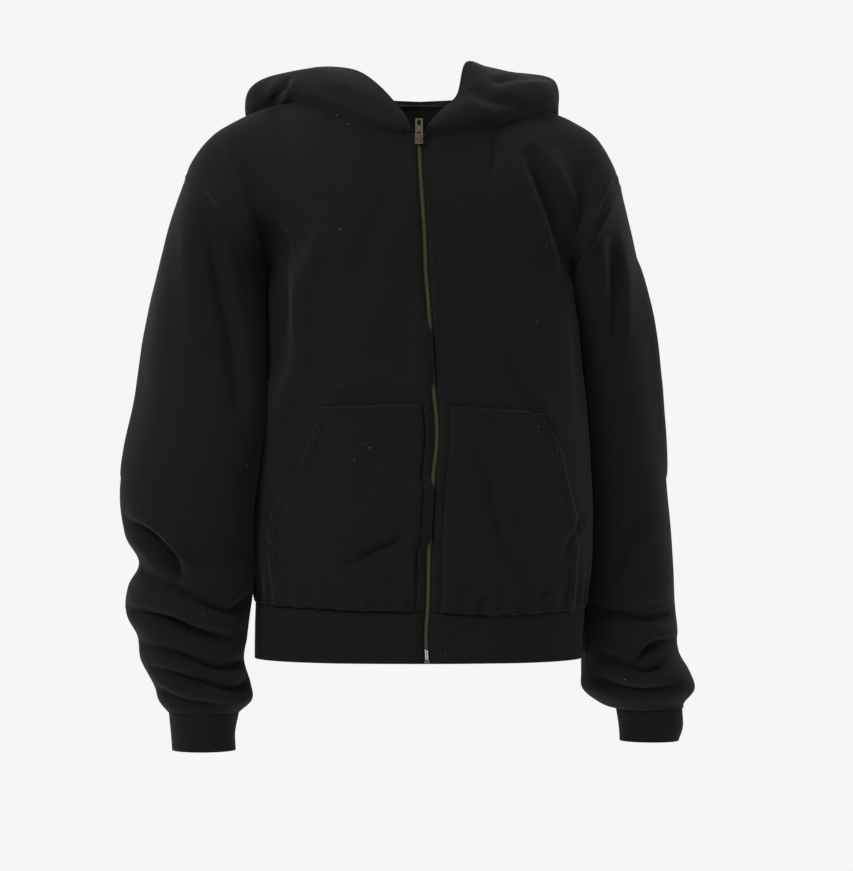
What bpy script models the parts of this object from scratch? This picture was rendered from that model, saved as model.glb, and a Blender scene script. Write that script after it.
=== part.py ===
"""Zip up hoodie, hollow, in the pose that it has when it is worn.

Frame: +Z up, the zip faces -Y and the wearer's left is +X.  The origin is the
middle of the neck opening, level with the high points of the shoulders.
Lengths in the tables are millimetres; MM turns them into Blender's metres.
"""
import math
from collections import namedtuple

import bmesh
import bpy
import numpy as np

MM = 0.001
RIGHT, LEFT = -1, 1                # the wearer's sides, as signs of X

# ---- driving dimensions -----------------------------------------------------
WALL = 2.2                         # heavy brushed jersey
RIB_WALL = 2.4                     # hem band and cuffs
SEAM_GAP = 0.6                     # between two pieces along a seam
LAY_GAP = 0.5                      # between a piece and the panel that it lies on
CHEST_LEVEL = -205.0               # height of the underarm points
BAND_BOTTOM = -645.0
CUFF_BOTTOM = -748.0
CHAIN_WIDTH = 5.6
CHAIN_THICKNESS = 2.4
TAPE_THICKNESS = 0.9
SLIDER = dict(width=9.0, height=12.0, depth=5.6)
TAB = dict(width=8.4, length=22.0, thickness=1.4)

COLLECTION = "zip_up_hoodie"
CLOTH = ("washed_black_fleece", (0.012, 0.010, 0.011), 0.9, 0.0)
TAPE = ("black_zip_tape", (0.010, 0.010, 0.010), 0.8, 0.0)
METAL = ("aged_brass", (0.50, 0.40, 0.25), 0.35, 1.0)

# ---- torso ------------------------------------------------------------------
# right and left: X of the sides; front and back: Y at the middle
TorsoRing = namedtuple("TorsoRing", "z right left front back power")
TORSO = (
    TorsoRing(-590, -183, 193, -122, 112, 2.5),
    TorsoRing(-560, -186, 198, -127, 116, 2.5),
    TorsoRing(-490, -187, 202, -130, 116, 2.5),
    TorsoRing(-400, -184, 198, -130, 112, 2.5),
    TorsoRing(-300, -178, 190, -128, 111, 2.5),
    TorsoRing(CHEST_LEVEL, -170, 180, -124, 112, 2.4),
)
BAND = (
    TorsoRing(-650, -184, 189, -119, 109, 2.5),
    TorsoRing(-620, -184, 190, -121, 111, 2.5),
    TorsoRing(-580, -183, 193, -122, 112, 2.5),
)

# line of the zip down the front
ZipPoint = namedtuple("ZipPoint", "z x")
ZIP_LINE = (
    ZipPoint(-645, 12.6), ZipPoint(-619, 11.5), ZipPoint(-574, 13.7),
    ZipPoint(-518, 14.8), ZipPoint(-441, 19.3), ZipPoint(-396, 23.7),
    ZipPoint(-338, 19.3), ZipPoint(-274, 16.0), ZipPoint(-241, 13.7),
    ZipPoint(-186, 9.3), ZipPoint(-130, 6.0), ZipPoint(-47, 3.7),
)

# hem seam, where the body meets the band
HemPoint = namedtuple("HemPoint", "x z")
HEM_SEAM = (
    HemPoint(-184, -581), HemPoint(-120, -583), HemPoint(-73, -585.5), HemPoint(5, -586.5),
    HemPoint(94, -591), HemPoint(150, -589), HemPoint(193, -587.5),
)

# top edge of each half: neck seam out to share 0.5, shoulder line beyond it.
# leave_y, leave_z and meet_y, meet_z steer the cloth as it leaves the chest
# line and as it meets that edge.
TopPoint = namedtuple("TopPoint", "share x y z leave_y leave_z meet_y meet_z")
FRONT_TOP = {
    RIGHT: (
        TopPoint(0.00, 0.2, -104, -54, -10, 150, 40, 150),
        TopPoint(0.15, -51, -98, -46.5, -10, 160, 50, 160),
        TopPoint(0.27, -80, -83, -31.5, -10, 170, 80, 160),
        TopPoint(0.42, -132, -42, -13, -20, 210, 130, 110),
        TopPoint(0.50, -161, -2, -12, -20, 230, 150, 30),
        TopPoint(0.65, -200, 0, -27, -30, 220, 160, 10),
        TopPoint(0.80, -236, 0, -50, -70, 180, 180, 0),
        TopPoint(0.92, -258, 0, -80, -210, 90, 250, 0),
        TopPoint(1.00, -266, 0, -103, -330, 20, 330, 0),
    ),
    LEFT: (
        TopPoint(0.00, 7.2, -104, -54, -10, 150, 40, 150),
        TopPoint(0.15, 42, -98, -54, -10, 150, 50, 155),
        TopPoint(0.27, 76, -82, -46, -10, 160, 80, 155),
        TopPoint(0.42, 126, -40, -27, -20, 200, 130, 110),
        TopPoint(0.50, 154, 0, -20, -20, 220, 150, 30),
        TopPoint(0.65, 180, 5, -31, -30, 210, 160, 10),
        TopPoint(0.80, 208, 8, -51, -70, 170, 180, 0),
        TopPoint(0.92, 227, 11, -82, -210, 90, 250, 0),
        TopPoint(1.00, 234, 12, -103, -330, 20, 330, 0),
    ),
}
BACK_TOP = {
    RIGHT: (
        TopPoint(0.00, 3, 106, -4, 10, 190, -40, 180),
        TopPoint(0.15, -50, 100, -5, 10, 190, -50, 180),
        TopPoint(0.27, -86, 84, -6, 10, 190, -80, 170),
        TopPoint(0.42, -136, 40, -9, 20, 220, -130, 110),
    ),
    LEFT: (
        TopPoint(0.00, 3, 106, -4, 10, 190, -40, 180),
        TopPoint(0.15, 52, 100, -6, 10, 190, -50, 180),
        TopPoint(0.27, 84, 84, -9, 10, 190, -80, 170),
        TopPoint(0.42, 130, 42, -15, 20, 220, -130, 110),
    ),
}

# ---- sleeves ----------------------------------------------------------------
# Each ring's middle, its half width across the arm, its half depth, how far its
# outer side is turned back and how steeply its outer side is tipped up.
SleeveRing = namedtuple("SleeveRing", "x y z across deep turn tip")
SLEEVE = {
    RIGHT: (
        SleeveRing(-224, -6, -185, 69, 78, 6, 36),
        SleeveRing(-229, -18, -228, 69, 70, 12, 22),
        SleeveRing(-235, -30, -290, 73, 62, 18, 10),
        SleeveRing(-241, -38, -358, 77, 58, 20, 5),
        SleeveRing(-253, -42, -413, 78, 58, 20, 4),
        SleeveRing(-260, -44, -458, 78, 58, 18, 3),
        SleeveRing(-258, -44, -505, 74, 57, 16, 2),
        SleeveRing(-250, -42, -535, 66, 52, 14, 0),
        SleeveRing(-256, -42, -562, 72, 58, 14, 0),
        SleeveRing(-259, -42, -592, 71, 58, 12, 0),
        SleeveRing(-254, -42, -618, 62, 52, 10, 0),
        SleeveRing(-254, -42, -645, 58, 50, 10, 0),
        SleeveRing(-243, -42, -672, 54, 48, 8, 0),
        SleeveRing(-239, -42, -690, 52, 46, 6, 0),
        SleeveRing(-241, -42, -704, 40, 38, 4, 0),
    ),
    LEFT: (
        SleeveRing(208, 16, -185, 55, 80, -4, 50),
        SleeveRing(214, 26, -228, 50, 76, -6, 28),
        SleeveRing(220, 36, -290, 53, 72, -8, 10),
        SleeveRing(223, 42, -358, 56, 70, -8, 5),
        SleeveRing(228, 44, -413, 58, 70, -8, 4),
        SleeveRing(232, 44, -458, 59, 69, -8, 3),
        SleeveRing(236, 42, -505, 59, 67, -8, 2),
        SleeveRing(238, 40, -545, 59, 66, -6, 0),
        SleeveRing(239, 38, -578, 59, 66, -6, 0),
        SleeveRing(242, 36, -610, 60, 65, -4, 0),
        SleeveRing(247, 34, -640, 56, 60, -4, 0),
        SleeveRing(254, 32, -664, 62, 60, -2, 0),
        SleeveRing(258, 32, -684, 64, 58, 0, 0),
        SleeveRing(262, 32, -700, 48, 44, 0, 0),
        SleeveRing(270, 32, -706, 39, 38, 0, 0),
    ),
}
# a cuff hangs from the end of its sleeve
CuffRing = namedtuple("CuffRing", "x y z across deep")
CUFF = {
    RIGHT: (
        CuffRing(-241, -42, -705, 38.6, 36.6),
        CuffRing(-242, -42, -728, 35.5, 34),
        CuffRing(-241, -42, CUFF_BOTTOM, 35, 33.5),
    ),
    LEFT: (
        CuffRing(270, 32, -707, 37.4, 36.4),
        CuffRing(272, 32, -728, 36, 34),
        CuffRing(270, 32, CUFF_BOTTOM + 4, 33, 32.5),
    ),
}
ARMHOLE_TURN = 5.0                 # room for the seam to turn under the arm
SHOULDER_END = 0.998               # of the climb to the shoulder seam, which leaves the seam's gap
SLEEVE_TO_TORSO = 4.0              # clear space between a sleeve's and the body's walls

# ---- hood -------------------------------------------------------------------
# Strips of one half, from the zip round to the middle of the back.  Each runs
# from the neck seam round the slack of the hood to the hood's open edge.
# share: place along the neck seam, 0 at the zip, 0.5 at the shoulder, 1 at the
# middle of the back; seat: from the body's edge to the seam of the hood.
HoodStrip = namedtuple("HoodStrip", "share seat under belly over edge")
HOOD = {
    RIGHT: (
        HoodStrip(0.03, (0, -0.8, 1.2), (-4, -107, -51), (-5, -107, -50), (-6, -107, -48), (-7, -106, -46)),
        HoodStrip(0.09, (0, -0.8, 1.2), (-27, -106, -45), (-24, -105, -40), (-20, -102, -34), (-15, -97, -30)),
        HoodStrip(0.17, (0, -0.9, 1.4), (-55, -101, -35), (-51, -97, -24), (-45, -89, -11), (-37, -78, -2)),
        HoodStrip(0.28, (0, -1.2, 1.5), (-88, -86, -18), (-86, -78, -3), (-77, -66, 12), (-62, -50, 20)),
        HoodStrip(0.38, (-1, -1.5, 2.2), (-124, -60, -4), (-124, -50, 12), (-112, -38, 25), (-88, -24, 29)),
        HoodStrip(0.47, (-1, 0, 3.2), (-163, -20, 0), (-163, -14, 12), (-148, -8, 24), (-118, -2, 31)),
        HoodStrip(0.56, (-1, 0, 3.2), (-182, 24, -10), (-196, 30, 0), (-182, 32, 16), (-140, 34, 27)),
        HoodStrip(0.66, (-1, 2.5, 2.5), (-160, 96, -34), (-187, 118, -60), (-178, 118, -10), (-138, 88, 22)),
        HoodStrip(0.77, (0, 3, 1.5), (-114, 124, -70), (-126, 150, -158), (-132, 172, -60), (-98, 132, 16)),
        HoodStrip(0.88, (0, 3, 1.2), (-60, 130, -90), (-62, 158, -214), (-66, 192, -90), (-50, 156, 12)),
        HoodStrip(1.00, (-0.4, 3, 1.2), (2.6, 131, -96), (2.6, 162, -232), (2.6, 200, -100), (2.6, 164, 10)),
    ),
    LEFT: (
        HoodStrip(0.03, (0, -0.8, 1.2), (11, -107, -51), (12, -107, -50), (13, -107, -48), (14, -106, -45)),
        HoodStrip(0.09, (0, -0.8, 1.2), (30, -107, -47), (29, -106, -40), (28, -102, -34), (26, -96, -28)),
        HoodStrip(0.18, (0, -0.9, 1.4), (55, -101, -41), (56, -98, -29), (54, -90, -17), (46, -76, -8)),
        HoodStrip(0.28, (0, -1.2, 1.5), (86, -85, -31), (86, -80, -14), (78, -66, 4), (56, -44, 32)),
        HoodStrip(0.38, (1, -1.5, 2.2), (120, -58, -19), (122, -52, -2), (112, -40, 14), (80, -14, 31)),
        HoodStrip(0.47, (1, 0, 3.2), (154, -20, -8), (156, -12, 5), (146, -4, 18), (106, 10, 28)),
        HoodStrip(0.56, (1, 0, 3.2), (160, 24, -10), (163, 30, 4), (154, 34, 20), (122, 36, 27)),
        HoodStrip(0.66, (1, 2.5, 2.5), (146, 94, -40), (160, 116, -70), (158, 116, -10), (132, 86, 22)),
        HoodStrip(0.77, (0, 3, 1.5), (110, 124, -72), (120, 150, -160), (126, 170, -60), (98, 130, 16)),
        HoodStrip(0.88, (0, 3, 1.2), (62, 130, -90), (66, 158, -214), (70, 192, -90), (54, 156, 12)),
        HoodStrip(1.00, (0.4, 3, 1.2), (3.4, 131, -96), (3.4, 162, -232), (3.4, 200, -100), (3.4, 164, 10)),
    ),
}

# ---- pockets ----------------------------------------------------------------
# The pocket's outer side follows the slanted hand opening up to its top; above
# that the same line of the front's grid runs on to the chest.
PocketRow = namedtuple("PocketRow", "z outer")
POCKET = {
    RIGHT: (
        PocketRow(-585, -160), PocketRow(-520, -163), PocketRow(-484, -161),
        PocketRow(-467, -155), PocketRow(-432, -133), PocketRow(-395, -117), PocketRow(-359, -104),
        PocketRow(-280, -110), PocketRow(CHEST_LEVEL, -126),
    ),
    LEFT: (
        PocketRow(-585, 176), PocketRow(-520, 180), PocketRow(-476, 178),
        PocketRow(-436, 168), PocketRow(-402, 159), PocketRow(-374, 146), PocketRow(-362, 140),
        PocketRow(-280, 136), PocketRow(CHEST_LEVEL, 136),
    ),
}
POCKET_TOP = {RIGHT: (-356, -359), LEFT: (-358, -366)}       # at the zip, at the opening
FACING = 15.0                      # from the zip line to the pocket and the tape's edge
FRONT_COLUMNS = dict(pocket=5, side=4)                       # steps across the front
FRONT_ROWS = dict(pocket=6, chest=5, shoulder=8)             # steps up the front
BACK_STEPS = dict(middle=5, lower=9, upper=7)
BAND_STEPS = dict(round=34, long=2)
SLEEVE_STEPS = dict(round=18, long=21)
HOOD_STEPS = dict(strips=14, round=10)

# ---- largest folds ----------------------------------------------------------
# A ridge stands out and a trough sinks in.  face says which way the fold is
# seen: front and back use (X, Z), right and left use (Y, Z).
Fold = namedtuple("Fold", "panel face height width path")
FOLDS = (
    Fold("front_right", "front", 9, 13, ((-214, -40), (-204, -90), (-193, -145), (-182, -200))),
    Fold("front_right", "front", -12, 22, ((-165, -130), (-160, -170), (-158, -215), (-152, -260))),
    Fold("front_right", "front", 5, 16, ((-118, -150), (-128, -225), (-130, -290))),
    Fold("front_right", "front", -7, 16, ((-160, -280), (-148, -330), (-160, -400))),
    Fold("front_left", "front", -10, 14, ((122, -60), (142, -100), (160, -150), (172, -215))),
    Fold("front_left", "front", 5, 16, ((150, -80), (166, -130), (178, -180))),
    Fold("front_left", "front", -6, 12, ((62, -380), (86, -440), (104, -510), (118, -550))),
    Fold("back", "back", -8, 22, ((-120, -150), (-104, -260), (-112, -400))),
    Fold("back", "back", 7, 24, ((130, -140), (112, -260), (116, -400))),
    Fold("back", "back", -6, 20, ((-40, -400), (0, -470), (60, -520))),
    Fold("sleeve_right", "front", -9, 14, ((-234, -135), (-222, -220), (-208, -285), (-200, -370))),
    Fold("sleeve_right", "front", 6, 16, ((-256, -130), (-254, -210), (-246, -300))),
    Fold("sleeve_left", "front", -7, 12, ((232, -160), (238, -230), (232, -310))),
    Fold("sleeve_left", "left", 7, 22, ((10, -200), (30, -330), (40, -450))),
    Fold("sleeve_right", "right", 7, 22, ((0, -200), (-20, -330), (-30, -450))),
)
FACES = {
    "front": (0, np.array((0.0, -1.0, 0.0))), "back": (0, np.array((0.0, 1.0, 0.0))),
    "right": (1, np.array((-1.0, 0.0, 0.0))), "left": (1, np.array((1.0, 0.0, 0.0))),
}


# ---- smooth tables ----------------------------------------------------------
def spline(keys, values, at):
    """Read a smooth curve through values, given at rising keys, at each of at."""
    keys = np.asarray(keys, float)
    values = np.asarray(values, float)
    slopes = np.gradient(values, keys, axis=0)
    at = np.asarray(at, float)
    left = np.clip(np.searchsorted(keys, at) - 1, 0, len(keys) - 2)
    span = keys[left + 1] - keys[left]
    t = np.clip((at - keys[left]) / span, 0.0, 1.0)
    extra = (1,) * (values.ndim - 1)
    t = t.reshape(t.shape + extra)
    span = span.reshape(span.shape + extra)
    start, end = values[left], values[left + 1]
    return ((2 * t**3 - 3 * t**2 + 1) * start + (t**3 - 2 * t**2 + t) * span * slopes[left]
            + (3 * t**2 - 2 * t**3) * end + (t**3 - t**2) * span * slopes[left + 1])


def column(rows, name):
    return np.array([getattr(row, name) for row in rows], float)


def read(rows, key, name, at):
    return spline(column(rows, key), column(rows, name), at)


# ---- torso surface ----------------------------------------------------------
def ring_point(rows, angle, z):
    """Point of a body ring: angle 0 is the middle of the front, 90 the wearer's left."""
    sine, cosine = np.sin(angle), np.cos(angle)
    right, left = read(rows, "z", "right", z), read(rows, "z", "left", z)
    share = 2.0 / read(rows, "z", "power", z)
    depth = np.where(cosine > 0, read(rows, "z", "front", z), read(rows, "z", "back", z))
    x = (right + left) / 2 + (left - right) / 2 * np.sign(sine) * np.abs(sine)**share
    y = depth * np.abs(cosine)**share
    return np.stack((x, y, np.broadcast_to(z, x.shape)), axis=-1)


def angle_at(rows, x, z):
    """Angle of the front point of a ring that has this X."""
    right, left = read(rows, "z", "right", z), read(rows, "z", "left", z)
    reach = (x - (right + left) / 2) / ((left - right) / 2)
    power = read(rows, "z", "power", z)
    return np.sign(reach) * np.arcsin(np.minimum(np.abs(reach), 1.0)**(power / 2))


def zip_x(z):
    return read(ZIP_LINE, "z", "x", z)


def hem_z(x):
    return spline(column(HEM_SEAM, "x"), column(HEM_SEAM, "z"), np.clip(x, -184, 193))


def side_angle(z, gap):
    """How far short of the side an edge stops, to leave this gap in Y."""
    power = read(TORSO, "z", "power", z)
    return (gap / 120.0)**(power / 2)


def front_angles(side, z):
    """Angles of a front's grid columns: zip edge, pocket, side seam."""
    height = np.array([float(z)])
    edge = angle_at(TORSO, zip_x(height) + side * (CHAIN_WIDTH / 2 + SEAM_GAP), height)[0]
    inner = angle_at(TORSO, zip_x(height) + side * FACING, height)[0]
    outer = angle_at(TORSO, read(POCKET[side], "z", "outer", height), height)[0]
    seam = side * (math.pi / 2 - side_angle(height, SEAM_GAP / 2)[0])
    pocket = np.linspace(inner, outer, FRONT_COLUMNS["pocket"] + 1)
    beyond = np.linspace(outer, seam, FRONT_COLUMNS["side"] + 1)[1:]
    return np.concatenate(([edge], pocket, beyond))


def back_angles(side, z, middle_steps):
    """Angles of half of the back's grid columns, from its middle to the side seam.

    Beyond the neck they keep the front's shares, so that both meet the shoulder seam alike.
    """
    front = front_angles(side, CHEST_LEVEL)
    shoulder = ((front - front[0]) / (front[-1] - front[0]))[-FRONT_COLUMNS["side"] - 1:]
    share = np.concatenate((np.linspace(0.0, shoulder[0], middle_steps + 1)[:-1], shoulder))
    seam = side * (math.pi / 2 + side_angle(np.array([float(z)]), SEAM_GAP / 2)[0])
    return side * math.pi + share * (seam - side * math.pi)


def back_top_rows(side):
    """The back shares the shoulder line with the front, and steers the other way."""
    shared = [row._replace(leave_y=-row.leave_y, meet_y=-row.meet_y)
              for row in FRONT_TOP[side] if row.share >= 0.5]
    return BACK_TOP[side] + tuple(shared)


def read_top(rows, name, share):
    """Read a top edge, which turns a corner where the neck seam meets the shoulder line."""
    neck = tuple(row for row in rows if row.share <= 0.5)
    shoulder = tuple(row for row in rows if row.share >= 0.5)
    share = np.asarray(share, float)
    return np.where(share < 0.5, read(neck, "share", name, share), read(shoulder, "share", name, share))


def top_part(rows, share, chest, climb):
    """Cloth above the chest line: a smooth arc from chest up to the top edge."""
    top = np.stack([read_top(rows, name, share) for name in "xyz"], axis=-1)
    zero = np.zeros_like(share)
    leave = np.stack((zero, read_top(rows, "leave_y", share), read_top(rows, "leave_z", share)), axis=-1)
    meet = np.stack((zero, read_top(rows, "meet_y", share), read_top(rows, "meet_z", share)), axis=-1)
    t = climb[..., None]
    return ((2 * t**3 - 3 * t**2 + 1) * chest + (t**3 - 2 * t**2 + t) * leave
            + (3 * t**2 - 2 * t**3) * top + (t**3 - t**2) * meet)


def shoulder_rows(rows, share, chest, steps):
    """Rows from the chest line up, closer together where the cloth turns over the top."""
    climbs = SHOULDER_END * (1.0 - (1.0 - np.linspace(0.0, 1.0, steps + 1))**1.5)
    return [top_part(rows, share, chest, np.full_like(share, climb)) for climb in climbs]


def front_grid(side):
    """One front: hem seam, pocket top, chest line, then neck and shoulder."""
    at_zip, at_opening = POCKET_TOP[side]
    lines = []
    for step in np.linspace(0.0, 1.0, FRONT_ROWS["pocket"] + 1):
        level = -585.0 + step * (at_opening + 585.0)
        angles = front_angles(side, level)
        x = ring_point(TORSO, angles, level)[:, 0]
        across = np.clip(np.arange(len(x)) - 1.0, 0.0, FRONT_COLUMNS["pocket"])
        top = at_zip + across / FRONT_COLUMNS["pocket"] * (at_opening - at_zip)
        hem = hem_z(x) + SEAM_GAP / 2
        lines.append(ring_point(TORSO, angles, hem + step * (top - hem)))
    top = lines[-1][:, 2]
    for step in np.linspace(0.0, 1.0, FRONT_ROWS["chest"] + 1)[1:-1]:
        level = at_opening + step * (CHEST_LEVEL - at_opening)
        lines.append(ring_point(TORSO, front_angles(side, level), top + step * (CHEST_LEVEL - top)))
    angles = front_angles(side, CHEST_LEVEL)
    chest = ring_point(TORSO, angles, CHEST_LEVEL)
    share = (angles - angles[0]) / (angles[-1] - angles[0])
    return np.array(lines + shoulder_rows(FRONT_TOP[side], share, chest, FRONT_ROWS["shoulder"]))


def back_half_grid(side, columns, lower_steps, upper_steps):
    lines = []
    hem_angles = back_angles(side, -585.0, columns)
    hem = hem_z(ring_point(TORSO, hem_angles, -585.0)[:, 0]) + SEAM_GAP / 2
    for step in np.linspace(0.0, 1.0, lower_steps + 1)[:-1]:
        level = -585.0 + step * (CHEST_LEVEL + 585.0)
        angles = back_angles(side, level, columns)
        lines.append(ring_point(TORSO, angles, hem + step * (CHEST_LEVEL - hem)))
    angles = back_angles(side, CHEST_LEVEL, columns)
    chest = ring_point(TORSO, angles, CHEST_LEVEL)
    share = (angles - angles[0]) / (angles[-1] - angles[0])
    return np.array(lines + shoulder_rows(back_top_rows(side), share, chest, upper_steps))


def armhole(side, angles):
    """Edge of the body where a sleeve joins; 0 is the top, 90 the front."""
    turn = np.mod(angles, 2 * math.pi)
    in_front = turn <= math.pi
    climb = np.where(in_front, 1 - turn / math.pi, turn / math.pi - 1)
    share = np.ones_like(turn)
    seam = np.full_like(turn, side * math.pi / 2)
    chest = ring_point(TORSO, seam, CHEST_LEVEL)
    front = top_part(FRONT_TOP[side], share, chest, climb)
    back = top_part(back_top_rows(side), share, chest, climb)
    return np.where(in_front[..., None], front, back)


# ---- sleeve surface ---------------------------------------------------------
def sleeve_ring(side, row, angles):
    """Ring of a sleeve; angle 0 is its outer side, 90 its front."""
    turn, tip = math.radians(row.turn), math.radians(row.tip)
    outward = np.array((side * math.cos(turn) * math.cos(tip),
                        math.sin(turn) * math.cos(tip), math.sin(tip)))
    forward = np.array((side * math.sin(turn), -math.cos(turn), 0.0))
    middle = np.array((row.x, row.y, row.z), float)
    return (middle + row.across * np.cos(angles)[:, None] * outward
            + row.deep * np.sin(angles)[:, None] * forward)


def clear_of_torso(points, gap):
    """Push points out of the body, so that a sleeve lies against its side."""
    z = np.clip(points[..., 2], -645.0, CHEST_LEVEL)
    rows = TORSO
    right, left = read(rows, "z", "right", z), read(rows, "z", "left", z)
    middle = (right + left) / 2
    front, back = read(rows, "z", "front", z), read(rows, "z", "back", z)
    power = read(rows, "z", "power", z)
    half = (left - right) / 2 + gap
    depth = np.where(points[..., 1] < 0, -front, back) + gap
    reach = (np.abs((points[..., 0] - middle) / half)**power
             + np.abs(points[..., 1] / depth)**power)**(1 / power)
    push = np.where((reach < 1.0) & (points[..., 2] > -660.0), 1.0 / np.maximum(reach, 0.3), 1.0)
    push = np.where(points[..., 2] < CHEST_LEVEL, push, 1.0)
    moved = points.copy()
    moved[..., 0] = middle + (points[..., 0] - middle) * push
    moved[..., 1] = points[..., 1] * push
    return moved


def sleeve_grid(side, round_steps, long_steps):
    angles = np.linspace(0.0, 2 * math.pi, round_steps + 1)
    first = armhole(side, angles)
    under = (1 - np.cos(angles)) / 2                  # 0 at the top, 1 under the arm
    away = np.array((side * 0.72, 0.0, -0.69))
    first = first + away * (SEAM_GAP + ARMHOLE_TURN * under**0.8)[:, None]
    rings = [first] + [sleeve_ring(side, row, angles) for row in SLEEVE[side]]
    keys = np.arange(len(rings), dtype=float)
    grid = spline(keys, np.array(rings), np.linspace(0, keys[-1], long_steps + 1))
    return np.concatenate((grid[:1], clear_of_torso(grid[1:], SLEEVE_TO_TORSO)))


def cuff_grid(side, round_steps, long_steps):
    angles = np.linspace(0.0, 2 * math.pi, round_steps + 1)
    rings = [sleeve_ring(side, SleeveRing(row.x, row.y, row.z, row.across, row.deep, 0, 0), angles)
             for row in CUFF[side]]
    keys = np.arange(len(rings), dtype=float)
    return spline(keys, np.array(rings), np.linspace(0, keys[-1], long_steps + 1))


# ---- the other cloth pieces -------------------------------------------------
def band_grid(round_steps, long_steps):
    """Hem band, from the right side of the zip round the back to its left side."""
    level = np.array([-610.0])
    ends = []
    for side in (RIGHT, LEFT):
        edge = zip_x(level) + side * (CHAIN_WIDTH / 2 + SEAM_GAP)
        facing = zip_x(level) + side * FACING
        ends.append((angle_at(BAND, edge, level)[0], angle_at(BAND, facing, level)[0]))
    (start, start_facing), (end, end_facing) = ends
    run = np.linspace(start_facing, end_facing - 2 * math.pi, round_steps - 1)
    angles = np.concatenate(([start], run, [end - 2 * math.pi]))
    x = ring_point(BAND, angles, -600.0)[:, 0]
    top = hem_z(x) - SEAM_GAP / 2
    lines = []
    for step in np.linspace(0.0, 1.0, long_steps + 1):
        z = BAND_BOTTOM + step * (top - BAND_BOTTOM)
        line = ring_point(BAND, angles, z)
        for index, side, reach in ((0, RIGHT, CHAIN_WIDTH / 2 + SEAM_GAP), (1, RIGHT, FACING),
                                   (-2, LEFT, FACING), (-1, LEFT, CHAIN_WIDTH / 2 + SEAM_GAP)):
            line[index, 0] = zip_x(z[index:][:1])[0] + side * reach
        lines.append(line)
    return np.array(lines)


def neck_edge(side, share):
    """Body's edge at the neck seam, by share from the zip to the middle of the back."""
    in_front = share <= 0.5
    reach = np.where(in_front, share, 1.0 - share)
    front = np.stack([read_top(FRONT_TOP[side], name, reach) for name in "xyz"], axis=-1)
    back = np.stack([read_top(back_top_rows(side), name, reach) for name in "xyz"], axis=-1)
    return np.where(in_front[:, None], front, back)


def hood_grid(side, strip_steps, round_steps):
    rows = HOOD[side]
    keys = np.arange(len(rows), dtype=float)
    at = np.linspace(0, keys[-1], strip_steps + 1)
    share = np.clip(spline(keys, column(rows, "share"), at), 0.0, 1.0)
    seat = spline(keys, [row.seat for row in rows], at)
    lines = [neck_edge(side, share) + seat]
    for name in ("under", "belly", "over", "edge"):
        lines.append(spline(keys, [getattr(row, name) for row in rows], at))
    keys = np.arange(len(lines), dtype=float)
    return spline(keys, np.array(lines), np.linspace(0, keys[-1], round_steps + 1))


# ---- folds ------------------------------------------------------------------
def grid_normals(grid, closed):
    """Unit normals of a grid of points; a closed grid's last column repeats its first."""
    along = np.gradient(grid, axis=0)
    if closed:
        wrapped = np.concatenate((grid[:, -2:-1], grid, grid[:, 1:2]), axis=1)
        across = np.gradient(wrapped, axis=1)[:, 1:-1]
    else:
        across = np.gradient(grid, axis=1)
    normal = np.cross(across, along)
    return normal / np.maximum(np.linalg.norm(normal, axis=-1, keepdims=True), 1e-9)


def outward_normals(grid, middle, closed=False):
    """Grid normals, turned to point away from a middle line."""
    normal = grid_normals(grid, closed)
    away = grid[..., :2] - np.asarray(middle)[..., :2]
    if np.sum(normal[..., :2] * away) < 0:
        normal = -normal
    return normal


def path_distance(points, path):
    """Distance of 2D points from a path, and how far along it the foot lies."""
    path = np.asarray(path, float)
    best = np.full(points.shape[:-1], 1e9)
    place = np.zeros(points.shape[:-1])
    for index in range(len(path) - 1):
        start, run = path[index], path[index + 1] - path[index]
        t = np.clip(np.sum((points - start) * run, axis=-1) / np.dot(run, run), 0.0, 1.0)
        distance = np.linalg.norm(points - (start + t[..., None] * run), axis=-1)
        nearer = distance < best
        best = np.where(nearer, distance, best)
        place = np.where(nearer, (index + t) / (len(path) - 1), place)
    return best, place


def edge_fade(grid, closed):
    """1 on a panel, falling to 0 at its sewn edges, where its neighbours meet it."""
    along = np.abs(np.linspace(-1.0, 1.0, grid.shape[0]))
    across = np.zeros(grid.shape[1]) if closed else np.abs(np.linspace(-1.0, 1.0, grid.shape[1]))
    return (1.0 - along[:, None]**8) * (1.0 - across[None, :]**8)


def folded(name, grid, normals, closed=False):
    """Move a panel's points by the folds that lie on it."""
    moved = grid.copy()
    fade = edge_fade(grid, closed)
    for fold in FOLDS:
        if fold.panel != name:
            continue
        axis, facing = FACES[fold.face]
        distance, place = path_distance(grid[..., (axis, 2)], fold.path)
        faded = np.sin(np.clip(place, 0.0, 1.0) * math.pi)**0.6
        amount = fold.height * np.exp(-(distance / fold.width)**2) * faded
        amount = amount * fade * np.clip(normals @ facing * 1.6, 0.0, 1.0)
        moved = moved + normals * amount[..., None]
    return moved


# ---- Blender objects --------------------------------------------------------
def clear_scene():
    for thing in list(bpy.data.objects):
        bpy.data.objects.remove(thing)


def material(spec):
    name, colour, roughness, metallic = spec
    found = bpy.data.materials.get(name)
    if found:
        return found
    made = bpy.data.materials.new(name)
    made.use_nodes = True
    shader = made.node_tree.nodes["Principled BSDF"]
    shader.inputs["Base Color"].default_value = (*colour, 1.0)
    shader.inputs["Roughness"].default_value = roughness
    shader.inputs["Metallic"].default_value = metallic
    return made


def place(name, mesh, spec, collection):
    mesh.materials.append(material(spec))
    thing = bpy.data.objects.new(name, mesh)
    collection.objects.link(thing)
    return thing


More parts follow.
